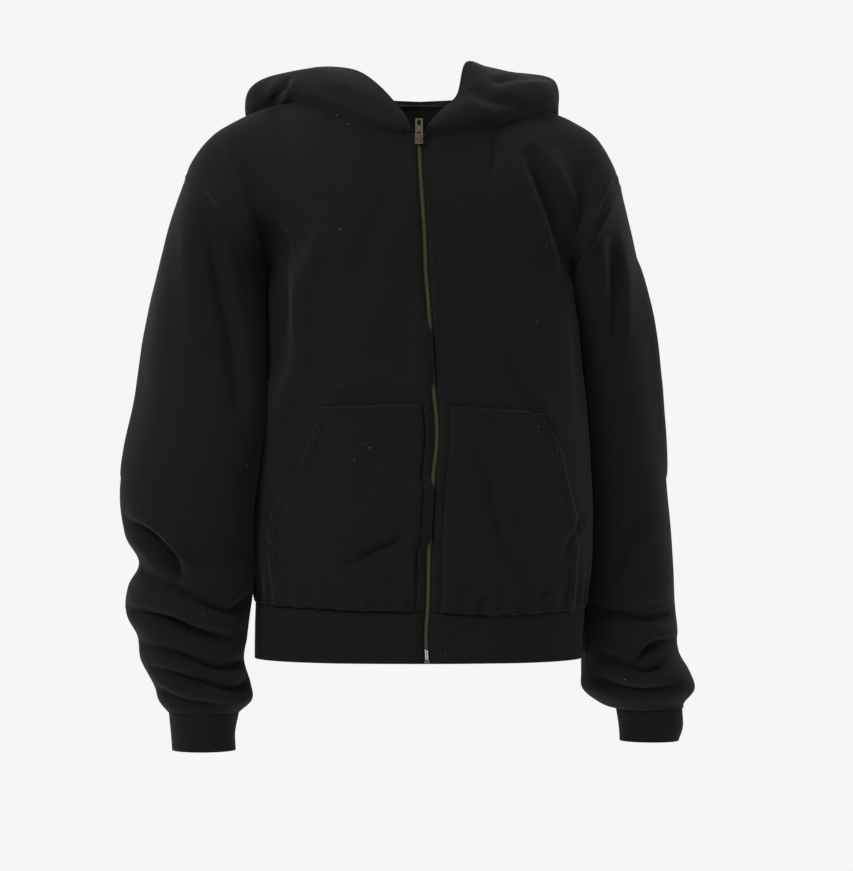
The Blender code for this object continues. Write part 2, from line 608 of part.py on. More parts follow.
def cloth(name, grid, wall, spec, collection, closed=False):
    """A wall of cloth on a grid of points in millimetres."""
    long_steps, round_steps = grid.shape[0] - 1, grid.shape[1] - 1
    shape = bmesh.new()
    bmesh.ops.create_grid(shape, x_segments=round_steps, y_segments=long_steps, size=1.0)
    for vert in shape.verts:
        across = round((vert.co.x + 1) / 2 * round_steps)
        along = round((vert.co.y + 1) / 2 * long_steps)
        vert.co = grid[along, across] * MM
    if closed:
        bmesh.ops.remove_doubles(shape, verts=shape.verts, dist=0.0001)
    mesh = bpy.data.meshes.new(name)
    shape.to_mesh(mesh)
    shape.free()
    mesh.shade_smooth()
    thing = place(name, mesh, spec, collection)
    thickness = thing.modifiers.new("wall", "SOLIDIFY")
    thickness.thickness = wall * MM
    thickness.offset = 0.0
    return thing


def block(name, size, centre, spec, collection):
    shape = bmesh.new()
    bmesh.ops.create_cube(shape, size=1.0)
    bmesh.ops.scale(shape, vec=[length * MM for length in size], verts=shape.verts)
    mesh = bpy.data.meshes.new(name)
    shape.to_mesh(mesh)
    shape.free()
    thing = place(name, mesh, spec, collection)
    thing.location = [value * MM for value in centre]
    return thing


def cut(thing, cutter):
    cutter.hide_render = True
    cutter.display_type = "WIRE"
    boolean = thing.modifiers.new("cut_" + cutter.name, "BOOLEAN")
    boolean.operation = "DIFFERENCE"
    boolean.object = cutter


def join(thing, other):
    other.hide_render = True
    other.display_type = "WIRE"
    boolean = thing.modifiers.new("join_" + other.name, "BOOLEAN")
    boolean.operation = "UNION"
    boolean.object = other


# ---- pieces -----------------------------------------------------------------
def make_fronts(collection):
    """The fronts, and what lies on them: the pockets outside, the zip tapes inside."""
    band = band_grid(BAND_STEPS["round"], BAND_STEPS["long"])
    cloth("hem_band", band, RIB_WALL, CLOTH, collection)
    edges = []
    for side, end, first, second in ((RIGHT, "right", 0, 1), (LEFT, "left", -1, -2)):
        grid = front_grid(side)
        normals = outward_normals(grid, (0, 0, 0))
        front = folded("front_" + end, grid, normals)
        cloth("front_" + end, front, WALL, CLOTH, collection)
        rows, columns = FRONT_ROWS["pocket"] + 1, FRONT_COLUMNS["pocket"] + 2
        pocket = front + outward_normals(front, (0, 0, 0)) * (WALL + LAY_GAP)
        cloth("pocket_" + end, pocket[:rows, 1:columns], WALL, CLOTH, collection)
        strip = np.concatenate((band[:, (first, second)], front[:, :2]))
        inward = outward_normals(strip, (0, 0, 0))
        tape = strip - inward * (RIB_WALL / 2 + LAY_GAP + TAPE_THICKNESS / 2)
        cloth("zip_tape_" + end, tape[:-1], TAPE_THICKNESS, TAPE, collection)
        edges.append(strip[:, 0])
    chain = np.stack(edges, axis=1)
    chain[:, 0, 0] += SEAM_GAP
    chain[:, 1, 0] -= SEAM_GAP
    cloth("zip_chain", chain[:-1], CHAIN_THICKNESS, METAL, collection)
    return chain.mean(axis=1)


def make_back(collection):
    halves = [back_half_grid(side, BACK_STEPS["middle"], BACK_STEPS["lower"], BACK_STEPS["upper"])
              for side in (RIGHT, LEFT)]
    back = np.concatenate((halves[0][:, ::-1], halves[1][:, 1:]), axis=1)
    normals = outward_normals(back, (0, 0, 0))
    cloth("back", folded("back", back, normals), WALL, CLOTH, collection)


def make_sleeves(collection):
    for side, end in ((RIGHT, "right"), (LEFT, "left")):
        grid = sleeve_grid(side, SLEEVE_STEPS["round"], SLEEVE_STEPS["long"])
        normals = outward_normals(grid, grid[:, :-1].mean(axis=1, keepdims=True), closed=True)
        cloth("sleeve_" + end, folded("sleeve_" + end, grid, normals, closed=True), WALL, CLOTH,
              collection, closed=True)
        cloth("cuff_" + end, cuff_grid(side, SLEEVE_STEPS["round"], 2), RIB_WALL, CLOTH,
              collection, closed=True)


def make_hood(collection):
    for side, end in ((RIGHT, "right"), (LEFT, "left")):
        grid = hood_grid(side, HOOD_STEPS["strips"], HOOD_STEPS["round"])
        cloth("hood_" + end, grid, WALL, CLOTH, collection)


def make_slider(collection, cutters, zip_top):
    """Slider with its bridge, and the tab that swings on it."""
    x, surface, top = zip_top
    y = surface - SLIDER["depth"] / 2 - WALL / 2 - 3.5
    centre = top - SLIDER["height"] / 2
    slider = block("zip_slider", (SLIDER["width"], SLIDER["depth"], SLIDER["height"]),
                   (x, y, centre), METAL, collection)
    face = y - SLIDER["depth"] / 2
    pivot = (x, face - 1.5, centre + 1.0)
    bridge = block("slider_bridge", (2.4, 4.0, 8.0), (x, face - 1.5, pivot[2]), METAL, cutters)
    eye = block("slider_eye", (4.0, 3.2, 4.4), (x, face - 1.1, pivot[2]), METAL, cutters)
    cut(bridge, eye)
    join(slider, bridge)
    tab = block("zip_pull", (TAB["width"], TAB["thickness"], TAB["length"]), pivot, METAL, collection)
    raise_mesh(tab, TAB["length"] / 2 - 0.8)
    holes = (("tab_window", (3.6, 4.0, 5.4), 3.5), ("tab_hole", (3.8, 4.0, 5.6), TAB["length"] - 5.5))
    for name, size, height in holes:
        hole = block(name, size, pivot, METAL, cutters)
        raise_mesh(hole, height)
        cut(tab, hole)


def raise_mesh(thing, height):
    for vert in thing.data.vertices:
        vert.co.z += height * MM


def main():
    clear_scene()
    collection = bpy.data.collections.new(COLLECTION)
    cutters = bpy.data.collections.new("cutters")
    for group in (collection, cutters):
        bpy.context.scene.collection.children.link(group)
    zip_line = make_fronts(collection)
    make_back(collection)
    make_sleeves(collection)
    make_hood(collection)
    make_slider(collection, cutters, zip_line[-1])


main()
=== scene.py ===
"""Looks of the zip up hoodie: cloth with its folds and seams, stitching, zip, materials and stage.

Frame: +Z up, the zip faces -Y and the wearer's left is +X.  The tables are in
millimetres, as in the garment's own drawing; MM turns them into metres.
"""
import math
from collections import namedtuple

import bmesh
import bpy
import numpy as np
from bpy.props import FloatProperty, FloatVectorProperty, PointerProperty
from bpy.types import Operator, Panel, PropertyGroup
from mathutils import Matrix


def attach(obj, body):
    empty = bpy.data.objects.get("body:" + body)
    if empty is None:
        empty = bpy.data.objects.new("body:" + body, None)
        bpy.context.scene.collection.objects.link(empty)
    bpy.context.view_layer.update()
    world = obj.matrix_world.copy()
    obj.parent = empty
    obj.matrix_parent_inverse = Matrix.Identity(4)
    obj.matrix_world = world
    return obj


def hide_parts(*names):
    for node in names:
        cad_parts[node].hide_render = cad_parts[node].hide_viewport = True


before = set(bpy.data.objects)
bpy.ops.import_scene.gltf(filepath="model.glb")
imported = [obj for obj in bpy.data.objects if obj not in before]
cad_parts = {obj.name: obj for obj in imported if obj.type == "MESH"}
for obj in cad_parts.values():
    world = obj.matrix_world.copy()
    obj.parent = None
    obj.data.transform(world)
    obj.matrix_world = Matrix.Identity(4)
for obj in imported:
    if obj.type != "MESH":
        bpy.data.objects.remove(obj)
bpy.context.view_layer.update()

bl_info = {
    "name": "Zip Up Hoodie",
    "version": (1, 0, 0),
    "blender": (4, 5, 0),
    "location": "3D View > Sidebar > Hoodie",
    "description": "Builds a worn zip up hoodie with its folds, stitching, zip and materials",
    "category": "Add Mesh",
}

GARMENT, PULL = "garment", "pull_tab"
MM = 0.001
RIGHT, LEFT = -1, 1                # the wearer's sides, as signs of X

# ---- driving dimensions -----------------------------------------------------
WALL = 2.2                         # heavy brushed jersey
RIB_WALL = 2.4                     # hem band and cuffs
SEAM_GAP = 0.6                     # between two pieces along a seam
LAY_GAP = 0.5                      # between a piece and the panel that it lies on
CHEST_LEVEL = -205.0               # height of the underarm points
BAND_BOTTOM = -645.0
CUFF_BOTTOM = -748.0
CHAIN_WIDTH = 5.6
CHAIN_THICKNESS = 2.4
TAPE_WIDTH = 12.0
TAPE_THICKNESS = 0.9
SLIDER = dict(width=9.0, height=12.0, depth=5.6)
TAB = dict(width=8.4, length=22.0, thickness=1.4)

# ---- torso ------------------------------------------------------------------
# right and left: X of the sides; front and back: Y at the middle
TorsoRing = namedtuple("TorsoRing", "z right left front back power")
TORSO = (
    TorsoRing(-590, -183, 193, -122, 112, 2.5),
    TorsoRing(-560, -186, 198, -127, 116, 2.5),
    TorsoRing(-490, -187, 202, -130, 116, 2.5),
    TorsoRing(-400, -184, 198, -130, 112, 2.5),
    TorsoRing(-300, -178, 190, -128, 111, 2.5),
    TorsoRing(CHEST_LEVEL, -170, 180, -124, 112, 2.4),
)
BAND = (
    TorsoRing(-650, -184, 189, -119, 109, 2.5),
    TorsoRing(-620, -184, 190, -121, 111, 2.5),
    TorsoRing(-580, -183, 193, -122, 112, 2.5),
)

# line of the zip down the front
ZipPoint = namedtuple("ZipPoint", "z x")
ZIP_LINE = (
    ZipPoint(-645, 12.6), ZipPoint(-619, 11.5), ZipPoint(-574, 13.7),
    ZipPoint(-518, 14.8), ZipPoint(-441, 19.3), ZipPoint(-396, 23.7),
    ZipPoint(-338, 19.3), ZipPoint(-274, 16.0), ZipPoint(-241, 13.7),
    ZipPoint(-186, 9.3), ZipPoint(-130, 6.0), ZipPoint(-47, 3.7),
)

# hem seam, where the body meets the band
HemPoint = namedtuple("HemPoint", "x z")
HEM_SEAM = (
    HemPoint(-184, -581), HemPoint(-120, -583), HemPoint(-73, -585.5), HemPoint(5, -586.5),
    HemPoint(94, -591), HemPoint(150, -589), HemPoint(193, -587.5),
)

# top edge of each half: neck seam out to share 0.5, shoulder line beyond it.
# leave_y, leave_z and meet_y, meet_z steer the cloth as it leaves the chest
# line and as it meets that edge.
TopPoint = namedtuple("TopPoint", "share x y z leave_y leave_z meet_y meet_z")
FRONT_TOP = {
    RIGHT: (
        TopPoint(0.00, 0.2, -104, -54, -10, 150, 40, 150),
        TopPoint(0.15, -51, -98, -46.5, -10, 160, 50, 160),
        TopPoint(0.27, -80, -83, -31.5, -10, 170, 80, 160),
        TopPoint(0.42, -132, -42, -13, -20, 210, 130, 110),
        TopPoint(0.50, -161, -2, -12, -20, 230, 150, 30),
        TopPoint(0.65, -200, 0, -27, -30, 220, 160, 10),
        TopPoint(0.80, -236, 0, -50, -70, 180, 180, 0),
        TopPoint(0.92, -258, 0, -80, -210, 90, 250, 0),
        TopPoint(1.00, -266, 0, -103, -330, 20, 330, 0),
    ),
    LEFT: (
        TopPoint(0.00, 7.2, -104, -54, -10, 150, 40, 150),
        TopPoint(0.15, 42, -98, -54, -10, 150, 50, 155),
        TopPoint(0.27, 76, -82, -46, -10, 160, 80, 155),
        TopPoint(0.42, 126, -40, -27, -20, 200, 130, 110),
        TopPoint(0.50, 154, 0, -20, -20, 220, 150, 30),
        TopPoint(0.65, 180, 5, -31, -30, 210, 160, 10),
        TopPoint(0.80, 208, 8, -51, -70, 170, 180, 0),
        TopPoint(0.92, 227, 11, -82, -210, 90, 250, 0),
        TopPoint(1.00, 234, 12, -103, -330, 20, 330, 0),
    ),
}
BACK_TOP = {
    RIGHT: (
        TopPoint(0.00, 3, 106, -4, 10, 190, -40, 180),
        TopPoint(0.15, -50, 100, -5, 10, 190, -50, 180),
        TopPoint(0.27, -86, 84, -6, 10, 190, -80, 170),
        TopPoint(0.42, -136, 40, -9, 20, 220, -130, 110),
    ),
    LEFT: (
        TopPoint(0.00, 3, 106, -4, 10, 190, -40, 180),
        TopPoint(0.15, 52, 100, -6, 10, 190, -50, 180),
        TopPoint(0.27, 84, 84, -9, 10, 190, -80, 170),
        TopPoint(0.42, 130, 42, -15, 20, 220, -130, 110),
    ),
}

# ---- sleeves ----------------------------------------------------------------
# Each ring's middle, its half width across the arm, its half depth, how far its
# outer side is turned back and how steeply its outer side is tipped up.
SleeveRing = namedtuple("SleeveRing", "x y z across deep turn tip")
SLEEVE = {
    RIGHT: (
        SleeveRing(-224, -6, -185, 69, 78, 6, 36),
        SleeveRing(-229, -18, -228, 69, 70, 12, 22),
        SleeveRing(-235, -30, -290, 73, 62, 18, 10),
        SleeveRing(-241, -38, -358, 77, 58, 20, 5),
        SleeveRing(-253, -42, -413, 78, 58, 20, 4),
        SleeveRing(-260, -44, -458, 78, 58, 18, 3),
        SleeveRing(-258, -44, -505, 74, 57, 16, 2),
        SleeveRing(-250, -42, -535, 66, 52, 14, 0),
        SleeveRing(-256, -42, -562, 72, 58, 14, 0),
        SleeveRing(-259, -42, -592, 71, 58, 12, 0),
        SleeveRing(-254, -42, -618, 62, 52, 10, 0),
        SleeveRing(-254, -42, -645, 58, 50, 10, 0),
        SleeveRing(-243, -42, -672, 54, 48, 8, 0),
        SleeveRing(-239, -42, -690, 52, 46, 6, 0),
        SleeveRing(-241, -42, -704, 40, 38, 4, 0),
    ),
    LEFT: (
        SleeveRing(208, 16, -185, 55, 80, -4, 50),
        SleeveRing(214, 26, -228, 50, 76, -6, 28),
        SleeveRing(220, 36, -290, 53, 72, -8, 10),
        SleeveRing(223, 42, -358, 56, 70, -8, 5),
        SleeveRing(228, 44, -413, 58, 70, -8, 4),
        SleeveRing(232, 44, -458, 59, 69, -8, 3),
        SleeveRing(236, 42, -505, 59, 67, -8, 2),
        SleeveRing(238, 40, -545, 59, 66, -6, 0),
        SleeveRing(239, 38, -578, 59, 66, -6, 0),
        SleeveRing(242, 36, -610, 60, 65, -4, 0),
        SleeveRing(247, 34, -640, 56, 60, -4, 0),
        SleeveRing(254, 32, -664, 62, 60, -2, 0),
        SleeveRing(258, 32, -684, 64, 58, 0, 0),
        SleeveRing(262, 32, -700, 48, 44, 0, 0),
        SleeveRing(270, 32, -706, 39, 38, 0, 0),
    ),
}
# a cuff hangs from the end of its sleeve
CuffRing = namedtuple("CuffRing", "x y z across deep")
CUFF = {
    RIGHT: (
        CuffRing(-241, -42, -705, 38.6, 36.6),
        CuffRing(-242, -42, -728, 35.5, 34),
        CuffRing(-241, -42, CUFF_BOTTOM, 35, 33.5),
    ),
    LEFT: (
        CuffRing(270, 32, -707, 37.4, 36.4),
        CuffRing(272, 32, -728, 36, 34),
        CuffRing(270, 32, CUFF_BOTTOM + 4, 33, 32.5),
    ),
}
ARMHOLE_TURN = 0.8                 # room for the seam to turn under the arm
SHOULDER_END = 0.998               # of the climb to the shoulder seam, which leaves the seam's gap
SLEEVE_TO_TORSO = 2.8              # clear space between a sleeve's and the body's walls

# ---- hood -------------------------------------------------------------------
# Strips of one half, from the zip round to the middle of the back.  Each runs
# from the neck seam round the slack of the hood to the hood's open edge.
# share: place along the neck seam, 0 at the zip, 0.5 at the shoulder, 1 at the
# middle of the back; seat: from the body's edge to the seam of the hood.
HoodStrip = namedtuple("HoodStrip", "share seat under belly over edge")
HOOD = {
    RIGHT: (
        HoodStrip(0.03, (0, -0.8, 1.2), (-4, -107, -51), (-5, -107, -50), (-6, -107, -48), (-7, -106, -46)),
        HoodStrip(0.09, (0, -0.8, 1.2), (-27, -106, -45), (-24, -105, -40), (-20, -102, -34), (-15, -97, -30)),
        HoodStrip(0.17, (0, -0.9, 1.4), (-55, -101, -35), (-51, -97, -24), (-45, -89, -11), (-37, -78, -2)),
        HoodStrip(0.28, (0, -1.2, 1.5), (-88, -86, -18), (-86, -78, -3), (-77, -66, 12), (-62, -50, 20)),
        HoodStrip(0.38, (-1, -1.5, 2.2), (-124, -60, -4), (-124, -50, 12), (-112, -38, 25), (-88, -24, 29)),
        HoodStrip(0.47, (-1, 0, 3.2), (-163, -20, 0), (-163, -14, 12), (-148, -8, 24), (-118, -2, 31)),
        HoodStrip(0.56, (-1, 0, 3.2), (-182, 24, -10), (-196, 30, 0), (-182, 32, 16), (-140, 34, 27)),
        HoodStrip(0.66, (-1, 2.5, 2.5), (-160, 96, -34), (-187, 118, -60), (-178, 118, -10), (-138, 88, 22)),
        HoodStrip(0.77, (0, 3, 1.5), (-114, 124, -70), (-126, 150, -158), (-132, 172, -60), (-98, 132, 16)),
        HoodStrip(0.88, (0, 3, 1.2), (-60, 130, -90), (-62, 158, -214), (-66, 192, -90), (-50, 156, 12)),
        HoodStrip(1.00, (-0.4, 3, 1.2), (2.6, 131, -96), (2.6, 162, -232), (2.6, 200, -100), (2.6, 164, 10)),
    ),
    LEFT: (
        HoodStrip(0.03, (0, -0.8, 1.2), (11, -107, -51), (12, -107, -50), (13, -107, -48), (14, -106, -45)),
        HoodStrip(0.09, (0, -0.8, 1.2), (30, -107, -47), (29, -106, -40), (28, -102, -34), (26, -96, -28)),
        HoodStrip(0.18, (0, -0.9, 1.4), (55, -101, -41), (56, -98, -29), (54, -90, -17), (46, -76, -8)),
        HoodStrip(0.28, (0, -1.2, 1.5), (86, -85, -31), (86, -80, -14), (78, -66, 4), (56, -44, 32)),
        HoodStrip(0.38, (1, -1.5, 2.2), (120, -58, -19), (122, -52, -2), (112, -40, 14), (80, -14, 31)),
        HoodStrip(0.47, (1, 0, 3.2), (154, -20, -8), (156, -12, 5), (146, -4, 18), (106, 10, 28)),
        HoodStrip(0.56, (1, 0, 3.2), (160, 24, -10), (163, 30, 4), (154, 34, 20), (122, 36, 27)),
        HoodStrip(0.66, (1, 2.5, 2.5), (146, 94, -40), (160, 116, -70), (158, 116, -10), (132, 86, 22)),
        HoodStrip(0.77, (0, 3, 1.5), (110, 124, -72), (120, 150, -160), (126, 170, -60), (98, 130, 16)),
        HoodStrip(0.88, (0, 3, 1.2), (62, 130, -90), (66, 158, -214), (70, 192, -90), (54, 156, 12)),
        HoodStrip(1.00, (0.4, 3, 1.2), (3.4, 131, -96), (3.4, 162, -232), (3.4, 200, -100), (3.4, 164, 10)),
    ),
}

# ---- pockets ----------------------------------------------------------------
# The pocket's outer side follows the slanted hand opening up to its top; above
# that the same line of the front's grid runs on to the chest.
PocketRow = namedtuple("PocketRow", "z outer")
POCKET = {
    RIGHT: (
        PocketRow(-585, -160), PocketRow(-520, -163), PocketRow(-484, -161),
        PocketRow(-467, -155), PocketRow(-432, -133), PocketRow(-395, -117), PocketRow(-359, -104),
        PocketRow(-280, -110), PocketRow(CHEST_LEVEL, -126),
    ),
    LEFT: (
        PocketRow(-585, 176), PocketRow(-520, 180), PocketRow(-476, 178),
        PocketRow(-436, 168), PocketRow(-402, 159), PocketRow(-374, 146), PocketRow(-362, 140),
        PocketRow(-280, 136), PocketRow(CHEST_LEVEL, 136),
    ),
}
POCKET_TOP = {RIGHT: (-356, -359), LEFT: (-358, -366)}       # at the zip, at the opening
FACING = 15.0                      # from the zip line to the pocket and the tape's edge
FRONT_COLUMNS = dict(pocket=46, side=32)                     # steps across the front
FRONT_ROWS = dict(pocket=76, chest=50, shoulder=58)          # steps up the front
BACK_STEPS = dict(middle=46, lower=110, upper=52)
BAND_STEPS = dict(round=320, long=20)
SLEEVE_STEPS = dict(round=132, long=190)
HOOD_STEPS = dict(strips=120, round=84)

# ---- folds ------------------------------------------------------------------
# A ridge stands out (height above 0) and a trough sinks in.  lip raises the
# cloth beside a trough, on the side that is to the left of its path.
# face says how a fold is seen: front and back use (X, Z), right and left (Y, Z).
Fold = namedtuple("Fold", "panel face height width lip path")
FOLDS = (
    # right front
    Fold("front_right", "front", 8, 13, 0, ((-216, -36), (-204, -90), (-193, -145), (-180, -205))),
    Fold("front_right", "front", -9, 20, 0, ((-176, -138), (-150, -172), (-112, -176))),
    Fold("front_right", "front", -11, 16, 0, ((-168, -150), (-160, -205), (-156, -270), (-160, -330))),
    Fold("front_right", "front", 1.6, 3.5, 0, ((-144, -126), (-122, -119), (-98, -116))),
    Fold("front_right", "front", 7, 13, 0, ((-112, -158), (-122, -205), (-130, -255), (-126, -290))),
    Fold("front_right", "front", 5.5, 11, 0, ((-116, -276), (-134, -324), (-155, -380))),
    Fold("front_right", "front", -2.6, 14, 0, ((-12, -95), (-38, -140), (-60, -200), (-84, -262))),
    Fold("front_right", "front", 2.4, 7, 0, ((-104, -343), (-70, -333), (-30, -325))),
    Fold("front_right", "front", -5.5, 6, 2.5, ((6, -478), (-17, -506), (-51, -522), (-84, -540))),
    Fold("front_right", "front", -2.4, 4, 1.5, ((-168, -478), (-150, -500), (-132, -524))),
    Fold("front_right", "front", -2.2, 4, 1.5, ((-170, -500), (-150, -528), (-128, -545))),
    Fold("front_right", "front", -1.8, 4, 1.2, ((-168, -452), (-148, -474), (-136, -498))),
    Fold("front_right", "front", -3, 6, 1.5, ((-26, -590), (-44, -574), (-70, -566), (-96, -572))),
    Fold("front_right", "front", -3, 5, 1.5, ((2, -588), (-12, -566), (-34, -548))),
    Fold("front_right", "front", -2.4, 5, 1.2, ((-92, -588), (-110, -566), (-140, -556))),
    Fold("front_right", "front", -1.6, 9, 0.8, ((-20, -400), (-48, -430), (-60, -470))),
    # left front
    Fold("front_left", "front", -4.5, 6, 1.5, ((87, -44), (89, -72), (85, -104))),
    Fold("front_left", "front", -9, 9, 3.5, ((124, -66), (142, -108), (160, -156), (176, -216))),
    Fold("front_left", "front", 5, 12, 0, ((150, -70), (168, -120), (184, -176))),
    Fold("front_left", "front", -4, 9, 2, ((98, -300), (128, -362), (148, -404))),
    Fold("front_left", "front", -2.4, 9, 1, ((36, -172), (60, -222), (74, -262))),
    Fold("front_left", "front", -4.2, 7.5, 2.6, ((55, -370), (80, -440), (94, -498), (106, -534), (146, -578))),
    Fold("front_left", "front", -3, 7, 1.5, ((176, -230), (184, -300), (186, -380))),
    Fold("front_left", "front", -3.4, 5, 1.5, ((34, -592), (48, -570), (72, -556))),
    Fold("front_left", "front", -3, 5, 1.5, ((60, -594), (80, -574), (104, -566))),
    Fold("front_left", "front", -3, 5, 1.5, ((118, -594), (132, -574), (158, -560))),
    Fold("front_left", "front", -2, 10, 0, ((24, -460), (54, -486), (84, -480))),
    Fold("front_left", "front", -2.2, 5, 1, ((196, -470), (176, -500), (160, -534))),
    # back
    Fold("back", "back", -8, 20, 3, ((-150, -120), (-128, -200), (-122, -300), (-130, -420))),
    Fold("back", "back", -7, 18, 3, ((158, -130), (136, -210), (126, -300), (134, -440))),
    Fold("back", "back", 5, 22, 0, ((-84, -150), (-74, -280), (-92, -420))),
    Fold("back", "back", -5, 16, 2, ((-90, -380), (-30, -440), (50, -470))),
    Fold("back", "back", -4, 14, 2, ((110, -480), (60, -520), (-10, -540))),
    Fold("back", "back", 4, 20, 0, ((60, -130), (50, -260), (66, -380))),
    Fold("back", "back", -3.5, 6, 1.5, ((-140, -590), (-120, -562), (-92, -548))),
    Fold("back", "back", -3.5, 6, 1.5, ((-70, -592), (-52, -566), (-22, -556))),
    Fold("back", "back", -3.5, 6, 1.5, ((22, -592), (36, -568), (64, -552))),
    Fold("back", "back", -3.5, 6, 1.5, ((96, -592), (112, -566), (142, -552))),
    # right sleeve
    Fold("sleeve_right", "front", -8, 9, 3, ((-234, -140), (-220, -225), (-206, -290), (-197, -374))),
    Fold("sleeve_right", "front", 5, 12, 0, ((-255, -112), (-253, -210), (-246, -300))),
    Fold("sleeve_right", "front", -13, 8, 8, ((-332, -488), (-300, -504), (-272, -532), (-262, -556))),
    Fold("sleeve_right", "front", -10, 7, 4, ((-312, -545), (-270, -562), (-228, -584), (-206, -588), (-184, -570))),
    Fold("sleeve_right", "front", -12, 7, 5, ((-330, -588), (-284, -596), (-248, -610), (-206, -620))),
    Fold("sleeve_right", "front", -8, 6, 4, ((-312, -628), (-262, -637), (-226, -652), (-190, -644))),
    Fold("sleeve_right", "front", -8, 6, 4, ((-300, -652), (-250, -664), (-206, -676), (-186, -664))),
    Fold("sleeve_right", "front", -6, 6, 3, ((-296, -676), (-258, -690), (-210, -694))),
    Fold("sleeve_right", "back", -10, 8, 6, ((-330, -520), (-280, -540), (-230, -530), (-180, -545))),
    Fold("sleeve_right", "back", -10, 8, 5, ((-330, -575), (-280, -590), (-230, -600), (-185, -590))),
    Fold("sleeve_right", "back", -9, 7, 4, ((-320, -620), (-270, -640), (-220, -632), (-190, -640))),
    Fold("sleeve_right", "back", -8, 6, 4, ((-300, -660), (-260, -672), (-210, -668))),
    Fold("sleeve_right", "back", -7, 16, 3, ((-262, -150), (-240, -260), (-236, -380))),
    Fold("sleeve_right", "back", -5, 12, 3, ((-300, -330), (-260, -400), (-220, -420))),
    Fold("sleeve_right", "right", 5, 20, 0, ((6, -190), (-16, -320), (-34, -440))),
    # left sleeve
    Fold("sleeve_left", "front", -6, 8, 2.5, ((222, -160), (226, -230), (222, -320))),
    Fold("sleeve_left", "front", -10, 7, 5, ((196, -586), (230, -594), (262, -600), (300, -594))),
    Fold("sleeve_left", "front", -8, 6, 4, ((250, -652), (272, -630), (304, -628))),
    Fold("sleeve_left", "front", -8, 6, 4, ((212, -640), (258, -660), (284, -652))),
    Fold("sleeve_left", "front", -7, 6, 3, ((206, -668), (250, -682), (306, -676))),
    Fold("sleeve_left", "front", -5, 9, 2, ((262, -480), (240, -520), (222, -560))),
    Fold("sleeve_left", "back", -10, 8, 5, ((190, -560), (230, -574), (296, -560))),
    Fold("sleeve_left", "back", -9, 7, 4, ((190, -610), (240, -622), (300, -612))),
    Fold("sleeve_left", "back", -8, 6, 4, ((200, -650), (250, -664), (310, -656))),
    Fold("sleeve_left", "back", -7, 16, 3, ((216, -150), (222, -260), (230, -380))),
    Fold("sleeve_left", "left", 6, 20, 0, ((16, -190), (34, -320), (44, -440))),
    # hood
    Fold("hood_right", "front", -5, 5, 3, ((-146, 18), (-152, 4), (-166, -10))),
    Fold("hood_right", "front", 2.4, 9, 0, ((-112, 8), (-80, 2), (-50, -18))),
    Fold("hood_left", "front", -4, 5, 3, ((88, 6), (108, 15), (136, 19), (158, 20))),
    Fold("hood_left", "front", -3, 8, 2, ((60, 0), (84, -14), (120, -18))),
    Fold("hood_right", "back", -5, 12, 3, ((-60, 0), (-70, -60), (-40, -130))),
    Fold("hood_left", "back", -5, 12, 3, ((66, 0), (84, -60), (56, -140))),
    Fold("hood_right", "back", -4, 10, 2, ((-140, -20), (-120, -80), (-80, -130))),
    Fold("hood_left", "back", -4, 10, 2, ((140, -20), (120, -90), (90, -150))),
)
FACES = {
    "front": (0, np.array((0.0, -1.0, 0.0))), "back": (0, np.array((0.0, 1.0, 0.0))),
    "right": (1, np.array((-1.0, 0.0, 0.0))), "left": (1, np.array((1.0, 0.0, 0.0))),
}
# rows of gathers that the hem band draws in: their pitch round the body and their depth
GATHER = dict(pitch=23.0, depth=2.6, reach=30.0)
# where the edge of the right front turns over the chain: from, to, how far
ZIP_COVER = ((-345, -262, 5.2), (-520, -436, 5.2))

# seam allowances behind a neighbouring panel: how far on, how far in, outermost first
SEAM_ROWS = ((8.0, 3.2), (1.6, 2.7))
SHOULDER_ROWS = ((4.0, 3.2), (1.4, 2.7))

FOLD_SCALE = 1.35

STITCH = dict(length=2.5, pitch=3.4, width=0.5, proud=0.25)
# a double-stitched seam in section: across (in widths) and out (in heights)
RIBBON = dict(wide=9.0, narrow=5.0, height=0.75, groove=0.25,
              profile=((-0.5, 0.0), (-0.38, 1.0), (-0.25, 0.1), (0.0, 1.0), (0.25, 0.1),
                       (0.38, 1.0), (0.5, 0.0), (0.45, -0.9), (-0.45, -0.9)))
FLOOR = dict(radius=3.0, solid=1.2)                        # metres; it fades out between the two
# studio lights: name, place and aim in metres, size, watts
LAMPS = (
    ("key", (-1.9, -2.2, 1.5), (0, 0, -0.35), 1.2, 70),
    ("fill", (2.0, -2.4, 0.2), (0, 0, -0.4), 1.8, 12),
    ("top", (0.0, 0.3, 2.2), (0, 0, -0.3), 2.0, 30),
    ("rim_right", (-2.2, 1.4, 0.3), (0, 0, -0.35), 1.4, 12),
    ("rim_left", (2.2, 1.4, 0.3), (0, 0, -0.35), 1.4, 12),
)
TOOTH = dict(pitch=3.0, length=3.5, height=1.2, thickness=2.5)


# ---- smooth tables ----------------------------------------------------------
def spline(keys, values, at):
    """Read a smooth curve through values, given at rising keys, at each of at."""
    keys = np.asarray(keys, float)
    values = np.asarray(values, float)
    slopes = np.gradient(values, keys, axis=0)
    at = np.asarray(at, float)
    left = np.clip(np.searchsorted(keys, at) - 1, 0, len(keys) - 2)
    span = keys[left + 1] - keys[left]
    t = np.clip((at - keys[left]) / span, 0.0, 1.0)
    extra = (1,) * (values.ndim - 1)
    t = t.reshape(t.shape + extra)
    span = span.reshape(span.shape + extra)
    start, end = values[left], values[left + 1]
    return ((2 * t**3 - 3 * t**2 + 1) * start + (t**3 - 2 * t**2 + t) * span * slopes[left]
            + (3 * t**2 - 2 * t**3) * end + (t**3 - t**2) * span * slopes[left + 1])


def column(rows, name):
    return np.array([getattr(row, name) for row in rows], float)


def read(rows, key, name, at):
    return spline(column(rows, key), column(rows, name), at)


